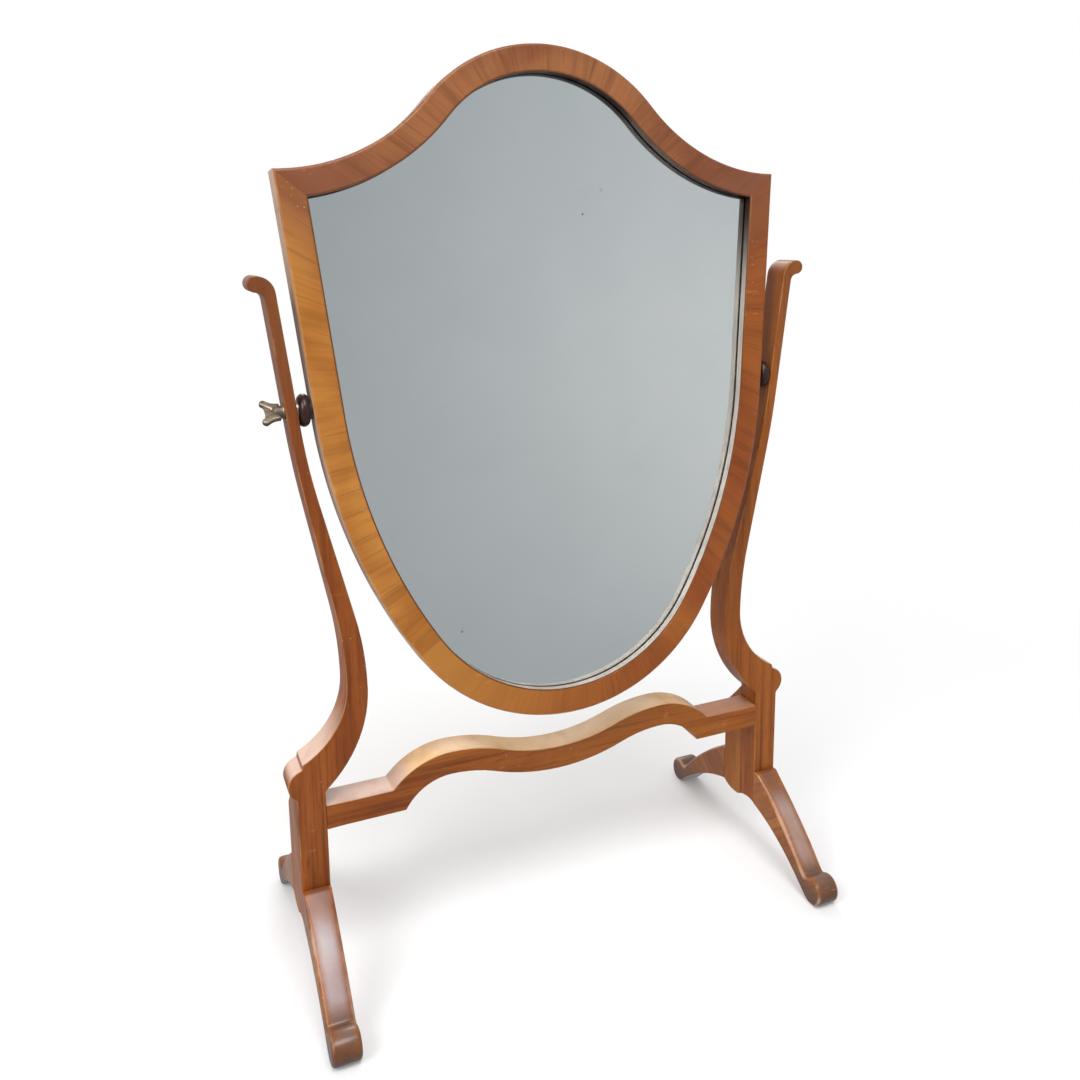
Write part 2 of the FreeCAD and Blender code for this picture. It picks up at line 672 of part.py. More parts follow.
def make_stretcher():
    body = new_body("stretcher")
    top = stretcher_edge(0.0)
    bottom = backwards(stretcher_edge(s.stretcher_height))
    ends = (line(top[-1].end, bottom[0].start), line(bottom[-1].end, top[0].start))
    outline = top + [ends[0]] + bottom + [ends[1]]
    pad_back(body, "stretcher_rail", "-Sheet.stock_depth", [outline], "Sheet.stock_depth")
    tenon = [polygon(tenon_corners(0.0))]
    pad_across(body, "stretcher_left_tenon", plain(-post_in) + " - Sheet.tenon_length", tenon,
               "Sheet.tenon_length")
    pad_across(body, "stretcher_right_tenon", plain(post_in), tenon, "Sheet.tenon_length")


def make_leg_dowels():
    dowels = []
    length = "Sheet.dowel_in_leg + Sheet.dowel_in_post"
    for name, side in side_names:
        for place, start in (("front", front - s.dowel_in_leg), ("back", s.stock_depth - s.dowel_in_post)):
            for z in leg_dowel_spots():
                dowel = doc.addObject("Part::Cylinder", "dowel")
                dowel.setExpression("Radius", "Sheet.dowel_radius")
                dowel.setExpression("Height", length)
                x = side * (post_in + s.stock_width / 2)
                dowel.Placement = Placement(Vector(x, start, z), Rotation(Vector(1, 0, 0), -90))
                dowels.append(dowel)
    group("leg_dowels", dowels)


def group(label, items, frame=None):
    """Separate solids of one kind, kept as one piece."""
    item = doc.addObject("Part::Compound", label)
    item.Links = items
    item.Label = label
    if frame:
        frame(item)
    pieces[label] = item


FRAME_PARTS = [
    ("top_rail", top_edge, False),
    ("right_stile", side_edge, False),
    ("bottom_rail", bottom_edge, False),
    ("left_stile", side_edge, True),
]
frame_front = "(Sheet.axis_to_back - Sheet.frame_depth)"
wall_inset = s.face_width - s.rebate_width
screw_inset = (s.backboard_inset + wall_inset) / 2


def shield_spot(where, amount, inset):
    """A point on an inset line, its direction in degrees and its radius there."""
    if where == "crown":
        radius = s.crown_radius - inset
        return polar(crown_centre, radius, 90 - amount), -amount, radius
    if where == "bottom":
        radius = bottom_radius - inset
        return polar(bottom_centre, radius, amount - 90), amount, radius
    side = 1 if where == "right" else -1
    point, lean = side_point(amount)
    x, z = polar(point, inset, 180 - lean)
    return (side * x, z), side * (90 - lean), s.side_radius - inset


# angles along the crown and the bottom curve, and heights on the sides
CROWN_SCREWS = 40
BOTTOM_SCREWS = 42
upper_screws = s.corner_height - s.upper_screw_drop
lower_screws = -s.lower_screw_drop
SCREW_SPOTS = {
    "top_rail": [("crown", -CROWN_SCREWS), ("crown", 0), ("crown", CROWN_SCREWS)],
    "right_stile": [("right", upper_screws), ("right", lower_screws)],
    "bottom_rail": [("bottom", -BOTTOM_SCREWS), ("bottom", 0), ("bottom", BOTTOM_SCREWS)],
    "left_stile": [("left", upper_screws), ("left", lower_screws)],
}


def screw_holes(part, bound):
    spots = [shield_spot(where, amount, screw_inset)[0] for where, amount in SCREW_SPOTS[part]]
    return [circle(spot, s.screw_radius + s.screw_fit, bound) for spot in spots]


def socket_holes(body, side):
    """Flat and hole for the threaded socket in the outer edge of a stile."""
    outside = plain(side * (s.shield_half + s.face_width))
    reach = s.shield_half + s.face_width - socket_face_x
    flat = circle((0.0, 0.0), s.socket_flange_radius + s.wood_fit)
    hole = circle((0.0, 0.0), s.socket_barrel_radius + s.wood_fit)
    cut(body, body.Label + "_flat", "YZ_Plane", outside, [flat], plain(reach), side < 0)
    depth = plain(reach) + " + Sheet.socket_barrel_length + Sheet.wood_fit"
    cut(body, body.Label + "_socket", "YZ_Plane", outside, [hole], depth, side < 0)


def make_frame():
    """Core of the frame: a lip in front of the glass and a wall round the rebate, in four sawn pieces."""
    bound = "Sheet.screw_radius + Sheet.screw_fit"
    lip_front = frame_front + " + Sheet.veneer_thick"
    wall_front = frame_front + " + Sheet.sight_depth"
    for part, edge, other_side in FRAME_PARTS:
        lip = between(edge, 0.0, s.face_width)
        wall = between(edge, 0.0, wall_inset)
        if other_side:
            lip, wall = flipped(lip), flipped(wall)
        core = new_body("frame_" + part, on_pivot)
        pad_back(core, part + "_lip", lip_front, [lip], "Sheet.sight_depth - Sheet.veneer_thick")
        pad_back(core, part + "_wall", wall_front, [wall], "Sheet.frame_depth - Sheet.sight_depth")
        cut(core, part + "_screws", "XZ_Plane", "-(%s + Sheet.frame_depth)" % frame_front,
            screw_holes(part, bound), "Sheet.screw_length + Sheet.screw_fit", True)
        if edge is side_edge:
            socket_holes(core, -1 if other_side else 1)
        veneer = new_body("veneer_" + part, on_pivot)
        pad_back(veneer, part + "_veneer", frame_front, [lip], "Sheet.veneer_thick")


def make_glass_and_back():
    slip = new_body("sight_slip", on_pivot)
    slip_outer = s.face_width + s.slip_fit
    ring = [shield(slip_outer), shield(slip_outer + s.slip_thick)]
    pad_back(slip, "slip_ring", frame_front, ring, "Sheet.sight_depth")
    glass = new_body("mirror_glass", on_pivot)
    glass_edge = shield(wall_inset + s.glass_clearance)
    pad_back(glass, "glass_plate", frame_front + " + Sheet.sight_depth", [glass_edge], "Sheet.glass_thick")
    board = new_body("backboard", on_pivot)
    board_front = frame_front + " + Sheet.frame_depth"
    pad_back(board, "board_plate", board_front, [shield(s.backboard_inset)], "Sheet.backboard_thick")
    bound = "Sheet.screw_radius + Sheet.screw_fit"
    holes = [hole for part in SCREW_SPOTS for hole in screw_holes(part, bound)]
    cut(board, "board_screws", "XZ_Plane", "-(%s)" % board_front, holes, "Sheet.backboard_thick", False)


def make_backboard_screws():
    backwards_turn = Rotation(Vector(1, 0, 0), -90)
    screws = []
    for part, spots in SCREW_SPOTS.items():
        for where, amount in spots:
            x, z = shield_spot(where, amount, screw_inset)[0]
            shank = doc.addObject("Part::Cylinder", "screw_shank")
            shank.setExpression("Radius", "Sheet.screw_radius")
            shank.setExpression("Height", "Sheet.screw_length + Sheet.backboard_thick")
            shank.Placement = Placement(Vector(x, s.axis_to_back - s.screw_length, z), backwards_turn)
            head = doc.addObject("Part::Cylinder", "screw_head")
            head.setExpression("Radius", "Sheet.screw_head_radius")
            head.setExpression("Height", "Sheet.screw_head_height")
            head.Placement = Placement(Vector(x, s.axis_to_back + s.backboard_thick, z), backwards_turn)
            screw = doc.addObject("Part::Fuse", "backboard_screw")
            screw.Base = shank
            screw.Tool = head
            screws.append(screw)
    group("backboard_screws", screws, on_pivot)


CROWN_BLOCKS = 22
BOTTOM_BLOCKS = 22
SIDE_BLOCKS = (0.45 * s.corner_height, -0.2 * s.bottom_drop, -0.55 * s.bottom_drop)
BLOCK_SPOTS = [(where, sign * CROWN_BLOCKS) for where in ("crown", "bottom") for sign in (-1, 1)]
BLOCK_SPOTS += [(where, height) for where in ("right", "left") for height in SIDE_BLOCKS]


def make_glass_blocks():
    """Small blocks glued into the rebate behind the glass; a straight block meets a hollow wall at its ends."""
    blocks = []
    depth_start = s.sight_depth + s.glass_thick - (s.frame_depth - s.axis_to_back)
    depth = "Sheet.frame_depth - Sheet.sight_depth - Sheet.glass_thick - Sheet.block_gap"
    for where, amount in BLOCK_SPOTS:
        radius = shield_spot(where, amount, wall_inset)[2]
        hollow = radius - math.sqrt(radius ** 2 - (s.block_length / 2) ** 2)
        inset = wall_inset + hollow + s.block_fit + s.block_width / 2
        (x, z), direction, _ = shield_spot(where, amount, inset)
        block = doc.addObject("Part::Box", "glass_block")
        block.setExpression("Length", "Sheet.block_length")
        block.setExpression("Width", depth)
        block.setExpression("Height", "Sheet.block_width")
        turn = Rotation(Vector(0, -1, 0), direction)
        corner = turn.multVec(Vector(-s.block_length / 2, 0, -s.block_width / 2))
        block.Placement = Placement(Vector(x, depth_start, z) + corner, turn)
        blocks.append(block)
    group("glass_blocks", blocks, on_pivot)


def rect_profile(x_start, x_end, r_low, r_high):
    return polygon([(x_start, r_low), (x_end, r_low), (x_end, r_high), (x_start, r_high)])


def pivot_piece(label, side, profile, frame):
    turned(label, profile if side > 0 else flipped(profile), frame)


def make_pivot_stack(name, side):
    barrel_end = socket_face_x - s.socket_barrel_length
    socket = polygon([
        (barrel_end, shank_hole),
        (flange_face, shank_hole),
        (flange_face, s.socket_flange_radius),
        (socket_face_x, s.socket_flange_radius),
        (socket_face_x, s.socket_barrel_radius),
        (barrel_end, s.socket_barrel_radius),
    ])
    pivot_piece(name + "_pivot_socket", side, socket, on_pivot)
    washer = rect_profile(flange_face, boss_start, shank_hole, s.washer_radius)
    pivot_piece(name + "_frame_washer", side, washer, on_pivot)
    washer = rect_profile(upright_washer, pivot_inner_x, shank_hole, s.washer_radius)
    pivot_piece(name + "_upright_washer", side, washer, beside_pivot)
    # boss: a flat ball, cut off square at both ends
    middle = (boss_start + boss_end) / 2
    half = (boss_end - boss_start) / 2
    ball_radius = (half ** 2 + s.boss_swell ** 2) / (2 * s.boss_swell)
    ball = (middle, s.boss_end_radius + s.boss_swell - ball_radius)
    start = (boss_start, s.boss_end_radius)
    end = (boss_end, s.boss_end_radius)
    boss = [
        line((boss_start, shank_hole), (boss_end, shank_hole)),
        line((boss_end, shank_hole), end),
        arc(end, start, ball, 1),
        line(start, (boss_start, shank_hole)),
    ]
    pivot_piece(name + "_boss", side, boss, on_pivot)


def make_pivot_screw():
    """Round-headed pivot screw on the right."""
    collar_end = collar_start + s.collar_thick
    dome_radius = (s.collar_radius ** 2 + s.collar_thick ** 2) / (2 * s.collar_thick)
    dome = (collar_end - dome_radius, 0.0)
    profile = [
        line((shank_tip, 0.0), (collar_end, 0.0)),
        arc((collar_end, 0.0), (collar_start, s.collar_radius), dome, 1),
        line((collar_start, s.collar_radius), (collar_start, s.shank_radius)),
        line((collar_start, s.shank_radius), (shank_tip, s.shank_radius)),
        line((shank_tip, s.shank_radius), (shank_tip, 0.0)),
    ]
    pivot_piece("right_pivot_screw", 1, profile, on_pivot)


def wing_outline(wing_start):
    """Fishtail wings seen along their flat: they spread from the neck to two rounded lobes."""
    wing_end = wing_start + s.wing_length
    lobe_x = wing_end - s.wing_lobe_radius
    lobe_z = s.wing_half - s.wing_lobe_radius
    high = (lobe_x, lobe_z)
    root = (wing_start - s.wing_offset / 2, s.neck_radius)
    outer_touch = tangent_from_below(root, high, s.wing_lobe_radius)
    dip = (wing_end - s.wing_lobe_radius, 0.0)
    inner_touch = polar(high, s.wing_lobe_radius, -20)
    upper = [
        line(root, outer_touch),
        arc(outer_touch, inner_touch, high, -1, "Sheet.wing_lobe_radius"),
        line(inner_touch, dip),
    ]

    def below(point):
        return point and (point[0], -point[1])
    lower = [Edge(below(e.end), below(e.start), below(e.centre), e.turn, e.bound) for e in reversed(upper)]
    return upper + lower + [line(below(root), root)]


def tangent_from_below(point, centre, radius):
    """Where the line from a point touches the upper left side of a circle."""
    reach = math.dist(point, centre)
    away = math.atan2(point[1] - centre[1], point[0] - centre[0])
    return polar(centre, radius, math.degrees(away - math.acos(radius / reach)))


def make_thumbscrew():
    """Brass thumbscrew on the left, with its wings turned as they stand at rest."""
    collar_end = collar_start + s.collar_thick
    wing_start = collar_end + s.wing_offset
    neck_end = wing_start + s.wing_length / 2
    profile = polygon([
        (shank_tip, 0.0),
        (neck_end, 0.0),
        (neck_end, s.neck_radius),
        (collar_end, s.neck_radius),
        (collar_end, s.collar_radius),
        (collar_start, s.collar_radius),
        (collar_start, s.shank_radius),
        (shank_tip, s.shank_radius),
    ])
    body = turned("left_thumbscrew", flipped(profile), with_wings)
    pad_back(body, "thumbscrew_wings", "-Sheet.wing_thick / 2", [flipped(wing_outline(wing_start))],
             "Sheet.wing_thick")


for name, side in side_names:
    make_upright(name, side)
    make_post_block(name, side)
    make_leg(name, side, "front")
    make_leg(name, side, "back")
    make_pivot_stack(name, side)
make_stretcher()
make_leg_dowels()
make_frame()
make_glass_and_back()
make_glass_blocks()
make_backboard_screws()
make_pivot_screw()
make_thumbscrew()
doc.recompute()

for item in doc.Objects:
    if "Invalid" in item.State or "Error" in item.State:
        raise RuntimeError("%s is not built: %s" % (item.Label, item.State))
for label, item in pieces.items():
    if item.Shape.isNull() or not item.Shape.isValid():
        raise RuntimeError("%s has no valid shape" % label)

os.makedirs("parts", exist_ok=True)
for label, item in pieces.items():
    item.Shape.exportStep(os.path.join("parts", label + ".step"))
    print("%-22s %d solid(s) %10.0f mm3" % (label, len(item.Shape.Solids), item.Shape.Volume))
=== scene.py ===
# %% [markdown]
# # A swing mirror for a dressing table
# A shield-shaped looking glass hangs on a pivot axis between two swan-neck uprights, which stand on pairs of
# sabre legs and are tied together by a serpentine stretcher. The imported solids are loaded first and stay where
# they are: they give every size and place. The dressed pieces are then drawn over them, in the same frame.

import bpy
import numpy as np
from mathutils import Matrix, Vector


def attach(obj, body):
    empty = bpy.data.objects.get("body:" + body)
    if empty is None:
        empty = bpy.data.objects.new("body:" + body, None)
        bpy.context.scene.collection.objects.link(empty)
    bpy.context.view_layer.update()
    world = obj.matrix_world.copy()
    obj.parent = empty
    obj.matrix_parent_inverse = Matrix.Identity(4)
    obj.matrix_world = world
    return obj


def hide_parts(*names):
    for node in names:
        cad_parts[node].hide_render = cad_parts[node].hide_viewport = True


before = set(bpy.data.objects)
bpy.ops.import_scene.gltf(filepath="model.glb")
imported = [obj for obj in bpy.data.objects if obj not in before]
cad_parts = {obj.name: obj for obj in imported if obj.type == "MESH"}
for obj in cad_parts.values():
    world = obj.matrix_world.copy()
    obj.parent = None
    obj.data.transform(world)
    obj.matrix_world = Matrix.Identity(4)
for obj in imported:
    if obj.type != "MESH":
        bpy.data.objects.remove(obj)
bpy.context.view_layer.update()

MM = 0.001

# %% [markdown]
# ## From an array to a piece
# Every surface below is worked out as a whole array of points. This step turns such an array into a mesh. A
# closed shell whose volume comes out negative has its faces the wrong way round, so it is turned. Edges sharper
# than 35 degrees stay crisp and all others are shaded smooth, which suits planed wood with eased corners. The
# many-sided faces that close a board are shaded flat: glass has to be flat to mirror well.

# %% Faces of a grid
def grid_faces(rows, columns, wrap_rows=False, wrap_columns=True):
    """Corner numbers of the four-sided faces of a grid; a wrapped direction joins its last line to its first."""
    row = np.arange(rows if wrap_rows else rows - 1)[:, None]
    column = np.arange(columns if wrap_columns else columns - 1)[None, :]
    next_row, next_column = (row + 1) % rows, (column + 1) % columns
    corners = [row * columns + column, row * columns + next_column,
               next_row * columns + next_column, next_row * columns + column]
    return np.stack(np.broadcast_arrays(*corners), -1).reshape(-1, 4).tolist()


def capped(rows, columns):
    """Faces of a tube of rings, closed by one many-sided face at each end."""
    ends = [list(range(columns))[::-1], list(range((rows - 1) * columns, rows * columns))]
    return grid_faces(rows, columns) + ends


def closed(rings):
    """A shell from a tube of rings: its points and the faces that close it."""
    return rings, capped(*rings.shape[:2])


print("a tube of 3 rings of 8 points:", len(capped(3, 8)), "faces")

# %% Shells that face outwards
def signed_volume(mesh):
    """A sixth of the sum over all triangles of the triple product of their corners."""
    mesh.calc_loop_triangles()
    corner = np.empty(len(mesh.vertices) * 3, np.float32)
    mesh.vertices.foreach_get("co", corner)
    index = np.empty(len(mesh.loop_triangles) * 3, np.int32)
    mesh.loop_triangles.foreach_get("vertices", index)
    a, b, c = corner.reshape(-1, 3)[index.reshape(-1, 3)].transpose(1, 0, 2).astype(float)
    return np.einsum("ij,ij->", a, np.cross(b, c)) / 6


def outward(points, faces):
    """The faces of a closed shell, turned round where its volume comes out negative."""
    shell = bpy.data.meshes.new("shell")
    shell.from_pydata(points.tolist(), [], faces)
    inside_out = signed_volume(shell) < 0
    bpy.data.meshes.remove(shell)
    return [face[::-1] for face in faces] if inside_out else faces


# %% A piece from its shells
CRISP = np.radians(35)


def piece(name, shells, body, nodes, marks=None, uv=None):
    """A piece from shells, each a pair of points in millimetres and faces; marks and uv hold a value per point."""
    points, faces = [], []
    for shell_points, shell_faces in shells:
        start = sum(len(p) for p in points)
        points.append(np.reshape(shell_points, (-1, 3)) * MM)
        faces += [[start + corner for corner in face] for face in outward(points[-1], shell_faces)]
    mesh = bpy.data.meshes.new(name)
    mesh.from_pydata(np.concatenate(points).tolist(), [], faces)
    mesh.shade_smooth()
    mesh.set_sharp_from_angle(angle=CRISP)
    corners = np.empty(len(mesh.polygons), np.int32)
    mesh.polygons.foreach_get("loop_total", corners)
    mesh.polygons.foreach_set("use_smooth", corners <= 4)
    for mark, values in (marks or {}).items():
        layer = mesh.attributes.new(mark, "FLOAT", "POINT")
        layer.data.foreach_set("value", np.ravel(values).astype(np.float32))
    if uv is not None:
        index = np.empty(len(mesh.loops), np.int32)
        mesh.loops.foreach_get("vertex_index", index)
        layer = mesh.uv_layers.new(name="across")
        layer.data.foreach_set("uv", np.reshape(uv, (-1, 2))[index].ravel().astype(np.float32))
    item = bpy.data.objects.new(name, mesh)
    bpy.context.scene.collection.objects.link(item)
    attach(item, body)
    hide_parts(*nodes)
    print("%-20s %6d faces %8.1f cm3" % (name, len(mesh.polygons), signed_volume(mesh) * 1e6))
    return item


# %% [markdown]
# ## Outlines as a joiner draws them
# The stand is sawn from boards, so each piece starts as a closed outline of straight runs and arcs. A corner is
# written as two lengths and a bulge, the tangent of a quarter of the angle that the edge after it turns through.
# Nothing sawn and sanded by hand keeps a knife-sharp corner, so a short moving average along the line eases it.
# The points are then spread to suit the curve: close together where it turns, far apart where it runs straight.

# %% Points at equal steps
def evenly(line, step):
    """The same closed line with points at equal steps along it."""
    loop = np.concatenate([line, line[:1]])
    travel = np.concatenate([[0], np.cumsum(np.linalg.norm(np.diff(loop, axis=0), axis=1))])
    places = np.linspace(0, travel[-1], int(travel[-1] / step), endpoint=False)
    return np.stack([np.interp(places, travel, loop[:, k]) for k in (0, 1)], 1)


# %% Outline with eased corners
BEND = np.radians(7)


def outline(corners, step=0.25, ease=3.0, longest=14.0):
    """Points and outward normals of a closed outline.

    An edge with bulge b turns through four times the arc tangent of b about a centre beside its middle. All edges
    are sampled at equal steps, averaged over a window of the length called ease, and sampled again so that the
    line turns by at most seven degrees and runs at most the longest length between two points.
    """
    corners = np.array(corners, float)
    stretches = []
    for (*start, bulge), (*end, _) in zip(corners, np.roll(corners, -1, 0)):
        start, chord = np.array(start), np.array(end) - start
        length = np.hypot(*chord) * (1 + bulge ** 2)
        share = np.linspace(0, 1, max(2, int(length / step)), endpoint=False)[:, None]
        if bulge:
            aside = np.array([-chord[1], chord[0]]) * (1 - bulge ** 2) / (4 * bulge)
            spoke = -chord / 2 - aside
            turn = 4 * np.arctan(bulge) * share
            across = np.array([-spoke[1], spoke[0]])
            stretches.append(start + chord / 2 + aside + np.cos(turn) * spoke + np.sin(turn) * across)
        else:
            stretches.append(start + share * chord)
    line = np.concatenate(stretches)
    if np.sum(line[:, 0] * np.roll(line[:, 1], -1) - line[:, 1] * np.roll(line[:, 0], -1)) < 0:
        line = line[::-1]
    line = evenly(line, step)
    reach = max(0, int(ease / step / 2))
    line = np.mean([np.roll(line, k, 0) for k in range(-reach, reach + 1)], 0)
    heading = np.unwrap(np.arctan2(*(np.roll(line, -1, 0) - np.roll(line, 1, 0)).T[::-1]))
    bend = np.abs(np.gradient(heading)) / BEND + step / longest
    travel = np.concatenate([[0], np.cumsum(bend)])
    places = np.linspace(0, travel[-1], int(np.ceil(travel[-1])), endpoint=False)
    along = np.interp(places, travel, np.arange(len(line) + 1))
    loop = np.concatenate([line, line[:1]])
    points = np.stack([np.interp(along, np.arange(len(loop)), loop[:, k]) for k in (0, 1)], 1)
    tangent = np.roll(line, -1, 0) - np.roll(line, 1, 0)
    tangent = np.concatenate([tangent, tangent[:1]])
    tangent = np.stack([np.interp(along, np.arange(len(loop)), tangent[:, k]) for k in (0, 1)], 1)
    tangent /= np.linalg.norm(tangent, axis=1)[:, None]
    return points, np.stack([tangent[:, 1], -tangent[:, 0]], 1)


points, _ = outline([(10, 0, 1), (-10, 0, 1)])
print("a circle of 10 mm: %d points, eased to %.2f mm" % (len(points), np.linalg.norm(points, axis=1).mean()))

# %% [markdown]
# ## A board with rounded arrises
# An arris is the edge where two faces of a board meet. Rounding it is what makes polished wood catch the light,
# so the board is drawn as rings: on the way in from a face the outline grows from its inset size to its full
# size along a quarter circle. Each point also gets two marks that the finish uses later: how near it lies to an
# arris, where polish is rubbed through, and how far it looks upwards, where the finish paints the wood paler,
# partly as fading by daylight and partly as painted sheen.

# %% Rings of a board
SWEEP = np.radians([0, 22.5, 45, 67.5, 90])[:, None]


def board(points, normals, near, far, near_round, far_round, stations=2):
    """Rings of (u, v, depth) from the near face to the far face, and the marks of their points.

    A ring at angle a on an arris of radius r lies r(1 - sin a) inside the outline and r(1 - cos a) below the
    face. The stations are the rings between the two arrises. The mark called up is the upward share of the
    outline's normal, times sin a on an arris.
    """
    near_round = np.broadcast_to(near_round, len(points))
    far_round = np.broadcast_to(far_round, len(points))
    share = np.linspace(0, 1, stations)[1:-1, None]
    inner = (near + near_round) * (1 - share) + (far - far_round) * share
    sweep_in, sweep_out = 1 - np.sin(SWEEP), 1 - np.cos(SWEEP)
    inset = np.concatenate([sweep_in * near_round, inner * 0, sweep_in[::-1] * far_round])
    depth = np.concatenate([near + sweep_out * near_round, inner, far - sweep_out[::-1] * far_round])
    worn = np.concatenate([np.sin(2 * SWEEP) * np.minimum(near_round, 1), inner * 0,
                           np.sin(2 * SWEEP[::-1]) * np.minimum(far_round, 1)])
    level = np.concatenate([np.sin(SWEEP), inner[:, :1] * 0 + 1, np.sin(SWEEP[::-1])])
    flat = points[None] - normals[None] * inset[..., None]
    return np.concatenate([flat, depth[..., None]], -1), {"arris": worn, "up": level * normals[:, 1]}


# %% Ways to lay a board
def seen_from_front(rings):
    """A board whose outline is drawn in the upright plane across the front: u is X, v is Z, depth is Y."""
    return rings[..., [0, 2, 1]]


def seen_from_side(rings):
    """A board whose outline is drawn in the upright plane from front to back: u is Y, v is Z, depth is X."""
    return rings[..., [2, 0, 1]]


def mirrored(points):
    """The same piece on the other side of the stand."""
    return points * np.array([-1.0, 1.0, 1.0])


SIDES = (("left", mirrored), ("right", np.array))


def smooth_step(low, high, value):
    """0 below low, 1 above high, and an S-shaped rise between them."""
    share = np.clip((value - low) / (high - low), 0, 1)
    return share * share * (3 - 2 * share)


# %% [markdown]
# ## Swan-neck uprights
# Each upright is one board: a post at the foot, a rounded knuckle, a neck that swings inwards and back out, and
# a small scroll curling outwards at the top. It could be a curve with a bevel, but the two edges of the neck are
# not parallel, so the outline is drawn whole, as the template on the sawyer's bench would be. The post's lower
# end follows the arch of the feet, so its last points drop towards the back.

# %% Sizes of the stand and the upright's outline
STOCK = 22.0
POST = (179.792, 199.792)
ARCH_RISE, ARCH_R, ARCH_BULGE, CUSP = 43.5, 27.71, 0.2091, 40.5
BLOCK_TOP, BLOCK_SHOULDER = 141.0, 117.5
ARRIS, GLUED = 0.9, 0.05
BLOCK_EASE, FOOT_EASE = 4.0, 12.0

UPRIGHT = [
    (POST[0], ARCH_RISE, 0), (POST[0], 143.90, -0.2222),            # inner face of the post, inner knee
    (146.79, 214.49, -0.0607), (153.33, 268.09, 0),                 # waist and belly
    (173.78, 350.73, 0.0301), (182.84, 399.81, 0),                  # bend and straight upper part
    (193.91, 490.02, -0.3789), (206.32, 501.00, -1.0),              # scroll and its rounded tip
    (206.32, 490.40, 0.3789), (200.98, 485.67, 0),                  # hollow under the scroll
    (190.44, 399.81, -0.0187), (182.50, 350.48, 0),                 # outer edge, downwards
    (167.11, 273.36, 0.0493), (161.79, 219.49, 0.2905),             # outer belly and knee
    (195.09, 167.01, 0), (195.09, 163.41, -0.6910),                 # notch and knuckle
    (POST[1], 141.46, 0), (POST[1], ARCH_RISE, 0),
]


# %% Arch of the feet
def arch(y):
    """Underside of the post: an arc through its front edge that falls to the cusp in the middle of the foot."""
    angle = 4 * np.arctan(ARCH_BULGE)
    chord = np.array([STOCK, CUSP - ARCH_RISE])
    middle = np.array([-STOCK / 2, (ARCH_RISE + CUSP) / 2])
    aside = np.array([chord[1], -chord[0]]) / np.hypot(*chord) * ARCH_R * np.cos(angle / 2)
    centre = middle + aside
    return centre[1] + np.sqrt(ARCH_R ** 2 - (-np.abs(y) - centre[0]) ** 2)


print("arch: %.1f mm above the floor at the post's front, %.1f mm at the cusp" % (arch(STOCK), arch(0)))

# %% Uprights
points, normals = outline(UPRIGHT)
on_block = 1 - smooth_step(BLOCK_TOP - BLOCK_EASE, BLOCK_TOP, points[:, 1])
rings, marks = board(points, normals, -STOCK, 0.0, ARRIS, ARRIS * (1 - on_block) + GLUED * on_block, 8)
upright = seen_from_front(rings)
foot_share = 1 - smooth_step(ARCH_RISE, ARCH_RISE + FOOT_EASE, upright[..., 2])
upright[..., 2] += foot_share * (arch(upright[..., 1]) - ARCH_RISE)
for side, turn in SIDES:
    piece(side + "_swan_neck", [closed(turn(upright))], "stand", [side + "_upright"], marks)

# %% [markdown]
# ## Post blocks
# A block is glued behind each post so that it is deep enough for the back leg. It is seen from the side: its top
# slopes down to the back and its underside carries on the arch of the feet. Where it is glued its edges stay
# sharp, because the joint was planed flush after gluing.

# %% Post blocks
BLOCK = [(0, CUSP, ARCH_BULGE), (STOCK, ARCH_RISE, 0), (STOCK, BLOCK_SHOULDER, 0), (0, BLOCK_TOP, 0)]

points, normals = outline(BLOCK, ease=1.5)
edge = GLUED + (ARRIS - GLUED) * smooth_step(0, 3, points[:, 0])
rings, marks = board(points, normals, *POST, edge, edge)
block = seen_from_side(rings)
for side, turn in SIDES:
    piece(side + "_post_back", [closed(turn(block))], "stand", [side + "_post_block"], marks)

# %% [markdown]
# ## Sabre legs
# A leg leaves the post under a small square ledge, sweeps down in a shallow curve and ends in a rolled toe. Its
# upper side is cushioned: the arris is wide there and on the toe, and narrow underneath. One outline serves all
# four legs, mirrored from front to back for the back pair and across the stand for the left pair.

# %% Legs
CUSHION, TOE_ROUND, LEDGE, LEDGE_RUN = 3.0, 2.4, -26.5, 14.0
TOE_FROM, TOE_TO, ROOT_RUN = 80.0, 96.0, 2.5

LEG = [
    (-STOCK, ARCH_RISE, 0), (-STOCK, 72.50, 0),                     # face against the post, ledge
    (LEDGE, 72.50, 0.0684), (-88.72, 19.61, -0.3831),               # bowed top, crease above the toe
    (-92.70, 19.17, 1.1920), (-101.91, 0, 0),                       # rolled toe
    (-96.09, 0, 0.1288), (-91.36, 2.76, -0.1279),                   # worn flat, underside
]

points, normals = outline(LEG, ease=2.4)
upward = smooth_step(-0.5, 0.3, normals[:, 1] - normals[:, 0])
clear_of_ledge = smooth_step(0, LEDGE_RUN, LEDGE - points[:, 0])
on_toe = smooth_step(TOE_FROM, TOE_TO, -points[:, 0])
width = ARRIS + (CUSHION - ARRIS) * upward * clear_of_ledge
width = np.maximum(width, ARRIS + (TOE_ROUND - ARRIS) * on_toe)
at_root = 1 - smooth_step(0, ROOT_RUN, -STOCK - points[:, 0])
width = width * (1 - at_root) + GLUED * at_root
width = np.mean([np.roll(width, k) for k in (-1, 0, 1)], 0)
rings, marks = board(points, normals, *POST, width, width)
leg = seen_from_side(rings)
to_back = np.array([1.0, -1.0, 1.0])
for side, turn in SIDES:
    for place, way in (("front", 1.0), ("back", to_back)):
        piece("%s_%s_sabre_leg" % (side, place), [closed(turn(leg * way))], "stand",
              ["%s_%s_leg" % (side, place)], marks)

# %% [markdown]
# ## Serpentine stretcher
# The stretcher rises in a hump beside each post and dips in the middle; its two edges run parallel. Its ends
# butt against the posts, so they keep their full size there, and the tenons behind them stay out of sight.

# %% Stretcher
TOP, UNDER, HUMP = 133.0, 115.0, 20.0

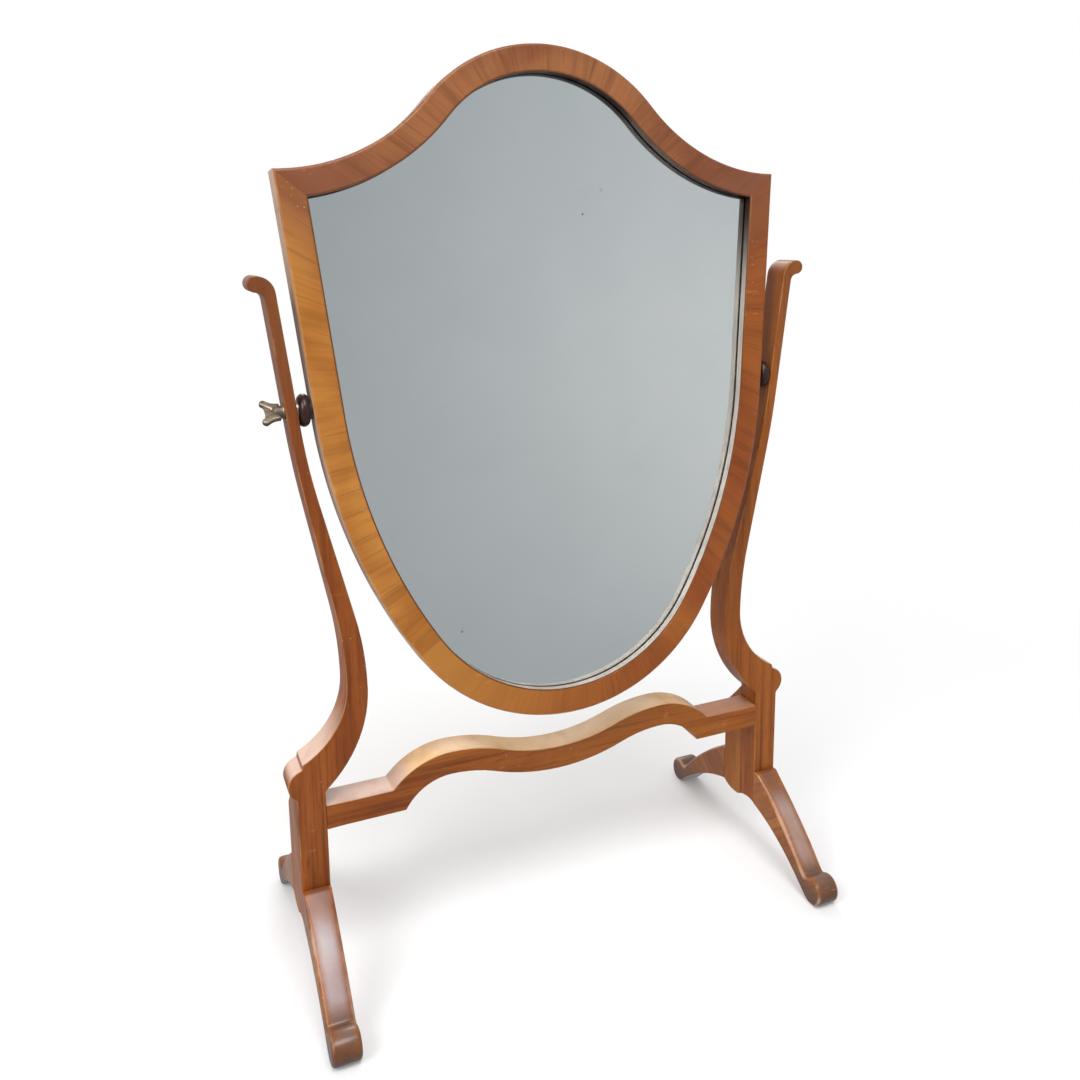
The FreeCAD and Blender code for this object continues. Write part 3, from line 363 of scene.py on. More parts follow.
STRETCHER = [
    (POST[0], TOP, 0), (131.82, TOP, 0.2174), (88.00, TOP + HUMP, 0.0874), (47.00, 145.78, -0.1761),
    (-47.00, 145.78, 0.0874), (-88.00, TOP + HUMP, 0.2174), (-131.82, TOP, 0), (-POST[0], TOP, 0),
    (-POST[0], UNDER, 0), (-122.64, UNDER, -0.2679), (-88.00, UNDER + HUMP, -0.0874), (-53.15, 128.86, 0.1761),
    (53.15, 128.86, -0.0874), (88.00, UNDER + HUMP, -0.2679), (122.64, UNDER, 0), (POST[0], UNDER, 0),
]

points, normals = outline(STRETCHER, ease=1.2)
at_post = smooth_step(POST[0] - 2, POST[0] - 0.5, np.abs(points[:, 0]))
edge = ARRIS * (1 - at_post) + GLUED * at_post
rings, marks = board(points, normals, -STOCK, 0.0, edge, edge)
piece("serpentine_rail", [closed(seen_from_front(rings))], "stand", ["stretcher"], marks)

# %% [markdown]
# ## The shield and its parallel lines
# Crown, shoulders, sides and bottom of the shield are arcs that run smoothly into each other, with mitres only
# at the two top corners. From a corner the side first runs straight and leans in. Every line round the frame,
# from the outer edge to the sight edge, has the same centres and a radius that is larger or smaller by its inset.
# So a part of the frame is a grid: one direction runs along the arcs and the other across the moulding, as
# (inset, depth) pairs. The whole hangs from the pivot axis and leans back, which is one turn about that axis.

# %% Sizes of the shield
HALF, CORNER, CROWN_R, SIDE_R, BOTTOM_R = 190.0, 154.6, 112.6, 380.0, 136.0
CROWN_C = np.array([0.0, 129.4])
SHOULDER_R = 137.6217
SHOULDER_C = np.array([HALF, CORNER + SHOULDER_R])
BOTTOM_C = np.array([0.0, -101.5])
TAPER = np.radians(5.8)
SIDE_C = np.array([-204.4398, 31.6930])
PIVOT_Y, PIVOT_Z, LEAN = -13.0, 412.5, np.radians(5.6)


# %% Arcs and mitres
def direction(a, b):
    """Angle of the way from one centre to another."""
    return np.arctan2(b[1] - a[1], b[0] - a[0])


def sweep(centre, radius, first, last, count):
    """Points on an arc: the centre plus the radius turned from the first angle to the last."""
    angle = first + (last - first) * np.linspace(0, 1, count)
    return np.stack([centre[0] + radius * np.cos(angle), centre[1] + radius * np.sin(angle)], -1)


def mitre(inset):
    """Where the leaning side, moved in by the inset, leaves the shoulder's circle, seen from that circle's centre."""
    down_x, down_z = -np.sin(TAPER), -np.cos(TAPER)
    x, z = -inset * np.cos(TAPER), inset * np.sin(TAPER) - SHOULDER_R
    along = x * down_x + z * down_z
    run = np.sqrt(along ** 2 - x ** 2 - z ** 2 + (SHOULDER_R + inset) ** 2) - along
    return x + run * down_x, z + run * down_z


# %% Lines round the shield
def top_line(inset):
    """From the right corner over the crown to the left corner."""
    swing = direction(CROWN_C, SHOULDER_C)
    x, z = mitre(inset)
    shoulder = sweep(SHOULDER_C, SHOULDER_R + inset, np.arctan2(z, x), swing - np.pi, 40)
    crown = sweep(CROWN_C, CROWN_R - inset, swing, np.pi - swing, 80)[..., 1:-1, :]
    return np.concatenate([shoulder, crown, (shoulder * [-1, 1])[..., ::-1, :]], -2)


def side_line(inset):
    """Down the right side, from the corner to the bottom curve."""
    x, z = mitre(inset)
    curve = sweep(SIDE_C, SIDE_R - inset, -TAPER, direction(SIDE_C, BOTTOM_C), 60)
    share = np.linspace(0, 1, 12, endpoint=False)
    upper = [SHOULDER_C[k] + v + (curve[..., :1, k] - SHOULDER_C[k] - v) * share for k, v in enumerate((x, z))]
    return np.concatenate([np.stack(upper, -1), curve], -2)


def left_line(inset):
    """The same line down the left side."""
    return side_line(inset) * [-1, 1]


def bottom_line(inset):
    """Along the bottom curve from right to left."""
    foot = direction(SIDE_C, BOTTOM_C)
    return sweep(BOTTOM_C, BOTTOM_R - inset, foot, -np.pi - foot, 90)


def shield_line(inset):
    """The whole closed outline, each joint once."""
    right, bottom, top = side_line(inset), bottom_line(inset), top_line(inset)
    left = (right * [-1, 1])[..., ::-1, :]
    return np.concatenate([right, bottom[..., 1:, :], left[..., 1:, :], top[..., ::-1, :][..., 1:-1, :]], -2)


print("shield: %.1f by %.1f mm" % tuple(np.ptp(shield_line(np.array(0.0)), axis=0)))

# %% Hanging on the pivot axis
def hang(points, turn=LEAN):
    """From places about the pivot axis to the frame: turn back about the axis, then lift to its height."""
    x, y, z = np.moveaxis(points, -1, 0)
    back = y * np.cos(turn) + z * np.sin(turn)
    return np.stack([x, PIVOT_Y + back, PIVOT_Z - y * np.sin(turn) + z * np.cos(turn)], -1)


hung = hang(np.insert(shield_line(np.array(0.0)), 1, 0, axis=-1))[:, 2]
print("shield: from %.1f to %.1f mm above the floor" % (hung.min(), hung.max()))

# %% [markdown]
# ## Frame and crossband
# The frame is sawn from solid wood in four parts and faced with veneer whose grain runs across the frame, so
# each part has two pieces: a core with a lip and a rebate, and a thin crossband. Their outer corner is rounded
# in one go through both, as it was after the veneer was laid. A sheet of coordinates goes with the crossband,
# the length along the frame and the width across it, because its figure has to follow the curve.

# %% Profiles of crossband and core
FACE, FRONT, BACK, VENEER, SIGHT, WALL = 18.5, -11.0, 7.0, 1.0, -5.0, 12.5
CORNER_ROUND, SIGHT_ROUND, BACK_ROUND = 2.2, 0.5, 0.8


def quarter(inset, depth, radius, first, last, count=5):
    """Points on a small arc of the moulding, given as (inset, depth) and degrees."""
    angle = np.radians(np.linspace(first, last, count))
    return np.stack([inset + radius * np.cos(angle), depth + radius * np.sin(angle)], 1)


# where the crossband ends on the rounded corner
seam = np.degrees(np.arcsin((CORNER_ROUND - VENEER) / CORNER_ROUND))
CROSSBAND = np.concatenate([
    quarter(CORNER_ROUND, FRONT + CORNER_ROUND, CORNER_ROUND, 180 + seam, 270, 5),
    np.stack([np.linspace(CORNER_ROUND + 1, FACE - SIGHT_ROUND - 1, 7), np.full(7, FRONT)], 1),
    quarter(FACE - SIGHT_ROUND, FRONT + SIGHT_ROUND, SIGHT_ROUND, -90, 0, 4),
    [(FACE, FRONT + VENEER)],
])
CORE = np.concatenate([
    [(FACE, FRONT + VENEER), (FACE, SIGHT), (WALL, SIGHT), (WALL, BACK)],
    quarter(BACK_ROUND, BACK - BACK_ROUND, BACK_ROUND, 90, 180, 4),
    quarter(CORNER_ROUND, FRONT + CORNER_ROUND, CORNER_ROUND, 180, 180 + seam, 4),
])
FRAME_LINES = {"top_rail": top_line, "right_stile": side_line, "bottom_rail": bottom_line, "left_stile": left_line}
print("points across the crossband: %d, across the core: %d" % (len(CROSSBAND), len(CORE)))

# %% Mouldings and their marks
CORNER_REACH, END_SHARE, LEAF_GAP = 0.05, 0.6, 1.3


def moulding(line, profile):
    """A grid of points along a line of the shield and across a profile, with its length and width."""
    flat = line(profile[:, :1])
    depth = np.broadcast_to(profile[:, 1:, None], flat.shape[:2] + (1,))
    points = np.concatenate([flat[..., :1], depth, flat[..., 1:]], -1)
    middle = line(np.array([[FACE / 2]]))[0]
    length = np.concatenate([[0], np.cumsum(np.linalg.norm(np.diff(middle, axis=0), axis=1))])
    across = np.broadcast_to(profile[:, :1], flat.shape[:2])
    uv = np.stack(np.broadcast_arrays(length, across), -1) * MM
    return points.transpose(1, 0, 2), uv.transpose(1, 0, 2)


def from_corner(part, length):
    """Length from the nearest mitred corner; on the bottom rail, which has none, from its left end."""
    ways = {"top_rail": np.minimum(length, length.max() - length), "bottom_rail": (length.max() - length) * END_SHARE}
    return ways.get(part, length)


def bell(value, middle, width):
    """1 in the middle, less on both sides: e to the power of minus the square of the distance over the width."""
    return np.exp(-((value - middle) / width) ** 2)


# %% Frame parts
for number, (part, line) in enumerate(FRAME_LINES.items()):
    leaf = [number * LEAF_GAP, 0]
    points, uv = moulding(line, CROSSBAND)
    rubbed = bell(CROSSBAND[:, 0], 0.8, 0.7) + 0.6 * bell(CROSSBAND[:, 0], FACE, 0.5)
    marks = {"arris": np.broadcast_to(rubbed, points.shape[:2]),
             "corner": bell(from_corner(part, uv[..., 0]), 0, CORNER_REACH)}
    piece("crossband_" + part, [closed(hang(points))], "mirror", ["veneer_" + part], marks, uv + leaf)
    points, uv = moulding(line, CORE)
    rubbed = bell(CORE[:, 0], 0.2, 0.5) * bell(CORE[:, 1], FRONT + 1.5, 1.5)
    marks = {"arris": np.broadcast_to(rubbed, points.shape[:2])}
    piece("core_" + part, [closed(hang(points))], "mirror", ["frame_" + part], marks, uv + leaf)

# %% [markdown]
# ## Sight slip
# A thin pale slip lines the sight edge, from the face of the frame back to the glass. It is one closed ring round
# the shield, so both directions of its grid are joined up. Its front edge was stained with the veneer, and under
# the crown, where it looks downwards, it is painted dark as painted shade. Two marks tell the finish where.

# %% Slip
SLIP = np.array([(0.05, 6.0), (0.05, 0.2), (0.2, 0.03), (0.5, 0.03),
                 (0.72, 0.12), (0.83, 0.3), (0.85, 0.6), (0.85, 6.0)])
STEP_IN = 0.1
SLIP_FRONT = np.array([0, 1, 1, 1, 1, 1, 0, 0])[:, None]

inset, depth = SLIP[:, :1] + FACE, SLIP[:, 1:] + FRONT
ring = shield_line(inset)
inward = (shield_line(inset + STEP_IN) - ring) / STEP_IN
points = np.stack(np.broadcast_arrays(ring[..., 0], depth, ring[..., 1]), -1)
# front marks the stained front edge; under marks where the slip looks downwards, which the finish paints dark as
# painted shade.
marks = {"front": np.broadcast_to(SLIP_FRONT, ring.shape[:2]), "under": np.clip(-inward[..., 1], 0, 1)}
piece("lining_slip", [(hang(points), grid_faces(*ring.shape[:2], wrap_rows=True))], "mirror",
      ["sight_slip"], marks)

# %% [markdown]
# ## Looking glass
# A looking glass is a clear plate with silvering on its back, and the small gap between the sight edge and its
# own reflection comes from the plate's thickness. A single shiny sheet would lose that gap, so the plate and the
# silvering are two pieces. The silvering stands a hair's breadth behind the plate, and both keep to the outline
# of the glass in its rebate.

# %% Glass plate and silvering
GLASS_INSET, GLASS, SILVER, HAIR = 13.0, 2.2, 0.08, 0.02
GLASS_ROUND, SILVER_ROUND = 0.2, 0.01


def shield_board(inset, near, far, rounding):
    """A board cut to a line of the shield; the normals come from the same line drawn slightly further in."""
    points, inner = shield_line(np.array(inset)), shield_line(np.array(inset + STEP_IN))
    normals = (points - inner) / STEP_IN
    rings, marks = board(points, normals, near, far, rounding, rounding)
    return hang(seen_from_front(rings)), marks


LAYERS = {"glass_plate": (SIGHT, SIGHT + GLASS - SILVER - HAIR, GLASS_ROUND),
          "silvering": (SIGHT + GLASS - SILVER, SIGHT + GLASS, SILVER_ROUND)}
for name, layer in LAYERS.items():
    rings, _ = shield_board(GLASS_INSET, *layer)
    piece(name, [closed(rings)], "mirror", ["mirror_glass"])

# %% [markdown]
# ## Backboard and its screws
# A thin pine board closes the back, held by ten slotted screws. A slotted head is a low dome with a groove: the
# lines of its grid run parallel to the slot, and the two in the middle drop to its floor, so the groove is real.
# The slots point every way, as they do on screws driven home by hand.

# %% Backboard
BOARD_INSET, BOARD_BACK, BOARD_ROUND = 4.0, 12.0, 0.8

rings, marks = shield_board(BOARD_INSET, BACK, BOARD_BACK, BOARD_ROUND)
piece("back_panel", [closed(rings)], "mirror", ["backboard"], marks)


# %% Slotted head
def slotted_head(radius, rise, slot_half, slot_depth):
    """Grid of a domed head over a disc: lines at places p across it, each as long as the disc is there.

    The height falls from the rise to half of it with the square of the distance from the middle, and by the
    slot's depth where p is less than half the slot's width. The under side is flat.
    """
    beside = np.array([0.35, 0.55, 0.75, 0.9, 0.97, 0.999]) * radius
    side = np.concatenate([[slot_half, slot_half * 1.02], beside])
    p = np.concatenate([-side[::-1], side])[:, None]
    q = np.linspace(-1, 1, 13)[None, :] * np.sqrt(radius ** 2 - p ** 2)
    height = rise * (1 - 0.5 * (p ** 2 + q ** 2) / radius ** 2)
    height = height - slot_depth * (np.abs(p) <= slot_half * 1.001)
    top = np.stack(np.broadcast_arrays(p, q, height), -1)
    under = top * [1, 1, 0]
    rows, columns = top.shape[:2]
    rim = np.concatenate([np.arange(rows) * columns, (rows - 1) * columns + np.arange(1, columns),
                          np.arange(rows - 2, -1, -1) * columns + columns - 1, np.arange(columns - 2, 0, -1)])
    count = rows * columns
    after = np.roll(rim, -1)
    wall = np.stack([rim, after, after + count, rim + count], 1).tolist()
    flat = grid_faces(rows, columns, wrap_columns=False)
    below = [[corner + count for corner in face[::-1]] for face in flat]
    return np.stack([top, under]).reshape(-1, 3), flat + wall + below


# %% Screws
HEAD_R, HEAD_RISE, SLOT_HALF, SLOT_DEPTH = 3.0, 1.8, 0.4, 0.8
SCREW_SPOTS = np.array([
    (-67.075, 209.337), (0, 233.75), (67.075, 209.337), (177.729, 115.434), (147.732, -87.358),
    (85.481, -196.437), (0, -229.25), (-85.481, -196.437), (-147.732, -87.358), (-177.729, 115.434),
])


def spun(p, q, angle):
    """Two lengths turned by an angle in their own plane."""
    return p * np.cos(angle) - q * np.sin(angle), p * np.sin(angle) + q * np.cos(angle)


head, head_faces = slotted_head(HEAD_R, HEAD_RISE, SLOT_HALF, SLOT_DEPTH)
twist = np.random.default_rng(7).uniform(0, np.pi, len(SCREW_SPOTS))[:, None]
p, q, height = head.T
across, upwards = spun(p, q, twist)
heads = np.stack([SCREW_SPOTS[:, :1] + across, BOARD_BACK + height + 0 * twist, SCREW_SPOTS[:, 1:] + upwards], -1)
piece("panel_screws", [(hang(h), head_faces) for h in heads], "mirror", ["backboard_screws"])

# %% [markdown]
# ## Turned pieces on the pivot axis
# Sockets, washers, bosses and screws were turned, so each is a profile of (length, radius) carried round the
# axis. The same outline helper draws and eases the profile. A hollow piece has a closed profile, and a solid one
# has an open profile that starts and ends close to the axis and is closed there by a small flat.

# %% Profiles carried round the axis
TURNS = 56


def turned(profile, hollow):
    """Points (x, r cos a, r sin a) round the pivot axis for each (x, r) of the profile, with their faces."""
    angle = np.linspace(0, 2 * np.pi, TURNS, endpoint=False)
    x, radius = profile[:, :1], profile[:, 1:]
    points = np.stack(np.broadcast_arrays(x, radius * np.cos(angle), radius * np.sin(angle)), -1)
    rows = len(profile)
    return points, grid_faces(rows, TURNS, wrap_rows=True) if hollow else capped(rows, TURNS)


def ring_profile(start, end, low, high, ease=0.5, belly=0.0):
    """Closed profile of a ring between two places and two radii; belly is the bulge of its outer side."""
    corners = [(start, low, 0), (end, low, 0), (end, high, belly), (start, high, 0)]
    return outline(corners, step=0.05, ease=ease, longest=2.0)[0]


# %% Sockets, washers and bosses
SOCKET_X, FLANGE_X, BOSS_X, BOSS_END, WASHER_X, UPRIGHT_X = 172.796, 175.196, 175.996, 182.996, 183.096, 185.296
BORE = 2.58
STACK = {
    "socket_flange": (ring_profile(SOCKET_X, FLANGE_X, BORE, 6.4), "pivot_socket", "mirror", "brass"),
    "frame_ring": (ring_profile(FLANGE_X, BOSS_X, BORE, 6.5, 0.3), "frame_washer", "mirror", "brass"),
    "turned_boss": (ring_profile(BOSS_X, BOSS_END, BORE, 8.5, 0.8, 0.714), "boss", "mirror", "ebonised"),
    "upright_ring": (ring_profile(WASHER_X, UPRIGHT_X, BORE, 6.5, 0.6), "upright_washer", "stand", "brass"),
}
for name, (profile, node, body, slot) in STACK.items():
    points, faces = turned(profile, True)
    for side, turn in SIDES:
        piece(side + "_" + name, [(turn(hang(points)), faces)], body, [side + "_" + node])

# %% [markdown]
# ## Thumbscrew and pivot screw
# On the left a brass thumbscrew clamps the mirror: a turned stem with a collar and a fishtail pair of wings, with
# a thin web between them. It was cast and filed, so wings and web are small boards with wide arrises. On the right
# a round-headed screw is enough, and it has a slot for the screwdriver.

# %% Thumbscrew
TIP_X, COLLAR_X, COLLAR_R, COLLAR, SHANK_R, NECK_R = 165.796, 191.196, 5.0, 2.2, 2.5, 4.4
WING_X, WING_TURN, WING_THICK, WEB_THICK = COLLAR_X + COLLAR + 3.5, np.radians(52), 3.8, 1.6

tip = [(TIP_X, 0.3), (TIP_X, 1.9), (TIP_X + 0.6, SHANK_R)]
stem = np.array([
    *tip, (COLLAR_X, SHANK_R), (COLLAR_X, COLLAR_R - 0.5),
    (COLLAR_X + 0.15, COLLAR_R - 0.15), (COLLAR_X + 0.5, COLLAR_R), (COLLAR_X + 1.3, COLLAR_R),
    (COLLAR_X + 1.8, COLLAR_R - 0.2), (COLLAR_X + 2.1, COLLAR_R - 0.6), (COLLAR_X + COLLAR, 4.1),
    (COLLAR_X + 2.6, NECK_R - 0.4), (WING_X - 1.5, NECK_R), (WING_X, NECK_R - 0.2), (WING_X + 1.5, 3.4),
    (WING_X + 2.6, 2.2), (WING_X + 3.2, 0.3),
])
wing = [(-2.6, 6.6, 0), (1.6, 7.2, 0.1), (6.4, 10.4, -0.6), (9.7, 6.6, 0), (3.0, 1.2, 0), (3.0, -1.2, 0),
        (9.7, -6.6, -0.6), (6.4, -10.4, 0.1), (1.6, -7.2, 0), (-2.6, -6.6, 0)]
web = [(-1.0, 5.0, 0), (4.0, 7.6, 0), (8.4, 6.2, 0.2), (8.4, -6.2, 0), (4.0, -7.6, 0), (-1.0, -5.0, 0)]
stem_points, stem_faces = turned(stem, False)
shells, worn = [(mirrored(hang(stem_points, WING_TURN)), stem_faces)], [np.zeros(stem_points.size // 3)]
for corners, thick, rounding in ((wing, WING_THICK, 1.3), (web, WEB_THICK, 0.3)):
    points, normals = outline(np.array(corners) + [WING_X, 0, 0], step=0.1, ease=1.6, longest=1.5)
    rings, marks = board(points, normals, -thick / 2, thick / 2, rounding, rounding)
    shells.append(closed(mirrored(hang(seen_from_front(rings), WING_TURN))))
    worn.append(marks["arris"].ravel())
marks = {"arris": np.concatenate(worn)}
piece("brass_thumbscrew", shells, "thumbscrew", ["left_thumbscrew"], marks)

# %% Pivot screw
DOME_SLOT_HALF, DOME_SLOT_DEPTH, DOME_TURN, DOME_SUNK = 0.55, 0.9, 0.5, 0.2

shank = np.array([*tip, (COLLAR_X + DOME_SUNK, SHANK_R), (COLLAR_X + DOME_SUNK, 0.3)])
shank_points, shank_faces = turned(shank, False)
dome, dome_faces = slotted_head(COLLAR_R, COLLAR, DOME_SLOT_HALF, DOME_SLOT_DEPTH)
p, q, height = dome.T
dome = np.stack([COLLAR_X + height, *spun(p, q, DOME_TURN)], -1)
piece("round_head_screw", [(hang(shank_points), shank_faces), (hang(dome), dome_faces)], "mirror",
      ["right_pivot_screw"])

# %% [markdown]
# ## Finishes: small helpers
# A finish is a tree of nodes. A few helpers keep the wiring short: they put a node in a tree, set or link its
# sockets, and open a node group with named sockets. Groups only put out what changes over the surface. What is the
# same all over is set on the shader itself.

# %% Nodes and sockets
def colour(code):
    """Linear colour from a six-figure screen colour."""
    screen = np.array([int(code[k:k + 2], 16) for k in (0, 2, 4)]) / 255
    linear = np.where(screen <= 0.04045, screen / 12.92, ((screen + 0.055) / 1.055) ** 2.4)
    return (*linear.tolist(), 1.0)


def feed(tree, socket, value):
    """Link a socket from an output or set it to a value; six figures stand for a screen colour."""
    if isinstance(value, bpy.types.NodeSocket):
        tree.links.new(value, socket)
    else:
        socket.default_value = colour(value) if isinstance(value, str) else value


def put(tree, kind, settings=None, **sockets):
    """A new node; s0, s1 and so on are its input sockets by number."""
    node = tree.nodes.new("ShaderNode" + kind)
    for key, value in (settings or {}).items():
        setattr(node, key, value)
    for key, value in sockets.items():
        feed(tree, node.inputs[int(key[1:])], value)
    return node


def shade(tree, shader, **sockets):
    """Feed a shader's sockets by name, with an underscore for each blank."""
    for key, value in sockets.items():
        feed(tree, shader.inputs[key.replace("_", " ")], value)


print("screen grey 808080 is %.3f in linear light" % colour("808080")[0])

# %% Short names for common nodes
def maths(tree, operation, a, b=0.0):
    return put(tree, "Math", {"operation": operation}, s0=a, s1=b).outputs[0]


def times(tree, a, b):
    return maths(tree, "MULTIPLY", a, b)


def coordinate(tree, vector, axis):
    return put(tree, "SeparateXYZ", s0=vector).outputs[axis]


def stretch(tree, vector, factors):
    return put(tree, "VectorMath", {"operation": "MULTIPLY"}, s0=vector, s1=factors).outputs[0]


def noise(tree, vector, scale, detail=2.0, distortion=0.0):
    return put(tree, "TexNoise", s0=vector, s2=scale, s3=detail, s8=distortion).outputs[0]


def cells(tree, vector, scale):
    """Distance to the nearest of many scattered points."""
    return put(tree, "TexVoronoi", {"feature": "F1"}, s0=vector, s2=scale).outputs[0]


def between(tree, value, low, high, first=0.0, last=1.0):
    """A value brought smoothly from one range to another."""
    return put(tree, "MapRange", {"interpolation_type": "SMOOTHSTEP"}, s0=value, s1=low, s2=high, s3=first,
               s4=last).outputs[0]


def mix(tree, share, a, b):
    return put(tree, "Mix", {"data_type": "RGBA"}, s0=share, s6=a, s7=b).outputs[2]


def bump(tree, strength, depth, height):
    return put(tree, "Bump", s0=strength, s1=depth, s3=height).outputs[0]


# %% Groups
def new_group(name, inputs, outputs):
    """An empty node group; its sockets are given by label and kind."""
    group = bpy.data.node_groups.new(name, "ShaderNodeTree")
    for way, sockets in (("INPUT", inputs), ("OUTPUT", outputs)):
        for label, kind in sockets.items():
            group.interface.new_socket(label, in_out=way, socket_type="NodeSocket" + kind)
    return group, group.nodes.new("NodeGroupInput").outputs, group.nodes.new("NodeGroupOutput").inputs


def use(tree, group, **sockets):
    """The outputs of a group placed in a material, with its input sockets by number."""
    return put(tree, "Group", {"node_tree": group}, **sockets).outputs


# %% [markdown]
# ## Wood figure
# Along the grain wood hardly changes, and across it everything happens. So one group stretches noise far along
# the third axis: a broad one for the light and dark bands of ribbon-cut wood, a fine one for streaks, and a very
# fine one cut off hard for the open pores. Each wood gives the group its own three colours, and its own mapping
# turns the third axis along the board.

# %% Wood group
BANDS, STREAKS, PORES = (45, 45, 4), (330, 330, 9), (1500, 1500, 70)

wood, take, give = new_group("wood_figure", {"Vector": "Vector", "Ground": "Color", "Pale": "Color", "Dark": "Color",
                                             "Pore depth": "Float"}, {"Color": "Color", "Height": "Float"})
bands = noise(wood, stretch(wood, take[0], BANDS), 1.0, 3.0, 0.6)
streaks = noise(wood, stretch(wood, take[0], STREAKS), 1.0, 4.0, 0.4)
pores = noise(wood, stretch(wood, take[0], PORES), 1.0, 1.0)
pore_mask = times(wood, between(wood, pores, 0.58, 0.72), take[4])
ground = mix(wood, between(wood, bands, 0.3, 0.7), take[1], take[2])
streaked = mix(wood, between(wood, streaks, 0.46, 0.8, 0.0, 0.7), ground, take[3])
feed(wood, give[0], mix(wood, pore_mask, streaked, take[3]))
feed(wood, give[1], maths(wood, "SUBTRACT", times(wood, streaks, 0.35), pore_mask))
print("wood figure:", len(wood.nodes), "nodes")

# %% [markdown]
# ## Crossband figure
# On the crossband the grain lies across the frame. Its coordinates are the length along the frame and the width
# across it, sheared a little because veneer is never laid quite square. Fine lines cross the band every millimetre
# or two, broader stripes come and go, and a slow change of tone along the length shows where one leaf of veneer
# ends and the next begins.

# %% Crossband group
LEAVES, STRIPES, LINES = (11, 1, 16), (130, 1, 12), (620, 1, 22)

band, take, give = new_group("crossband_figure", {"Vector": "Vector", "Ground": "Color", "Pale": "Color",
                                                  "Dark": "Color"}, {"Color": "Color", "Height": "Float"})
leaves = noise(band, stretch(band, take[0], LEAVES), 1.0, 2.0, 0.5)
stripes = noise(band, stretch(band, take[0], STRIPES), 1.0, 3.0, 0.8)
lines = noise(band, stretch(band, take[0], LINES), 1.0, 3.0, 0.5)
ground = mix(band, between(band, leaves, 0.3, 0.7), take[1], take[2])
striped = mix(band, between(band, stripes, 0.42, 0.8, 0.0, 0.5), ground, take[3])
feed(band, give[0], mix(band, between(band, lines, 0.45, 0.8, 0.0, 0.42), striped, take[3]))
feed(band, give[1], lines)
print("crossband figure:", len(band.nodes), "nodes")

# %% [markdown]
# ## Wear and handling
# Two more groups age the polish. One breaks the arris mark up with noise, so the colour is rubbed through in
# patches along the edges and not in an even line. The other makes soft smears, fine scratches and tiny pale
# flecks, such as a piece gathers that has stood on a dressing table for a hundred years.

# %% Wear groups
SCORING, FLECK_SIZE = (70, 900, 240), 230.0

wear, take, give = new_group("rubbed_arris", {"Vector": "Vector", "Arris": "Float"}, {"Mask": "Float"})
patches = between(wear, noise(wear, take[0], 34.0, 5.0), 0.34, 0.7)
feed(wear, give[0], between(wear, times(wear, take[1], patches), 0.08, 0.9))

handling, take, give = new_group("handling", {"Vector": "Vector"},
                                 {"Smear": "Float", "Scratches": "Float", "Flecks": "Float"})
feed(handling, give[0], noise(handling, take[0], 16.0, 3.0, 0.5))
scored = between(handling, noise(handling, stretch(handling, take[0], SCORING), 1.0, 1.0), 0.68, 0.74)
gate = between(handling, noise(handling, take[0], 26.0, 1.0), 0.52, 0.66)
feed(handling, give[1], times(handling, scored, gate))
dots = between(handling, cells(handling, take[0], FLECK_SIZE), 0.16, 0.05)
sparse = between(handling, noise(handling, take[0], 38.0, 2.0), 0.57, 0.7)
feed(handling, give[2], times(handling, dots, sparse))
print("groups:", [group.name for group in bpy.data.node_groups])

# %% [markdown]
# ## French-polished wood
# The stand is mahogany, stained and French polished: a thin hard film over orange-brown wood. The colour comes
# from the figure, paler where the arrises are rubbed, and paler where edges look upwards: partly faded by daylight,
# partly painted sheen and painted light. The film is a coat, and the roughness follows smears and wear. The boards
# differ in their tone and in the way their grain runs, so one function makes them all.

# %% Start of a finish
def start(name):
    """A new material with its shader and its coordinates."""
    material = bpy.data.materials.new(name)
    material.use_nodes = True
    tree = material.node_tree
    return material, tree, tree.nodes["Principled BSDF"], put(tree, "TexCoord").outputs["Object"]


def mark(tree, name):
    return put(tree, "Attribute", {"attribute_name": name}).outputs["Fac"]


def graded(tree, place, axis, first, *steps):
    """A colour that changes along an axis; each step is where it starts, where it ends and the new colour."""
    length = coordinate(tree, place, axis)
    for low, high, tone in steps:
        first = mix(tree, between(tree, length, low, high), first, tone)
    return first


# %% Age over a polish
RUBBED, SCRATCHED, FLECKED, FLECK_TONE = 0.75, 0.3, 0.35, "D8C8B4"
FINE_RELIEF, FILM_ROUGH = 0.0004, 0.25


def aged(tree, shader, place, base, height, rubbed, rough, coat, gloss=0.3):
    """Wear, scratches and flecks over a polished colour, with the sheen and the fine relief that go with them."""
    worn = use(tree, wear, s0=place, s1=mark(tree, "arris"))[0]
    smear, scratches, flecks = use(tree, handling, s0=place)
    base = mix(tree, times(tree, worn, RUBBED), base, rubbed)
    base = mix(tree, times(tree, scratches, SCRATCHED), base, rubbed)
    base = mix(tree, times(tree, flecks, FLECKED), base, FLECK_TONE)
    dull = between(tree, smear, 0.3, 0.7, rough - 0.06, rough + 0.12)
    relief = maths(tree, "SUBTRACT", height, times(tree, scratches, 0.5))
    shade(tree, shader, Base_Color=base, Roughness=maths(tree, "ADD", dull, times(tree, worn, 0.12)),
          Specular_IOR_Level=gloss, Normal=bump(tree, 0.12, FINE_RELIEF, relief))
    if coat:
        film = times(tree, maths(tree, "SUBTRACT", 1.0, worn), coat)
        shade(tree, shader, Coat_Weight=film, Coat_Roughness=FILM_ROUGH)


# %% Polished wood
LEG_MIDDLE = np.mean(POST) * MM
SCROLL_FROM, SCROLL_TO, LOW_DARK_TONE = 0.34, 0.48, "4A362C"


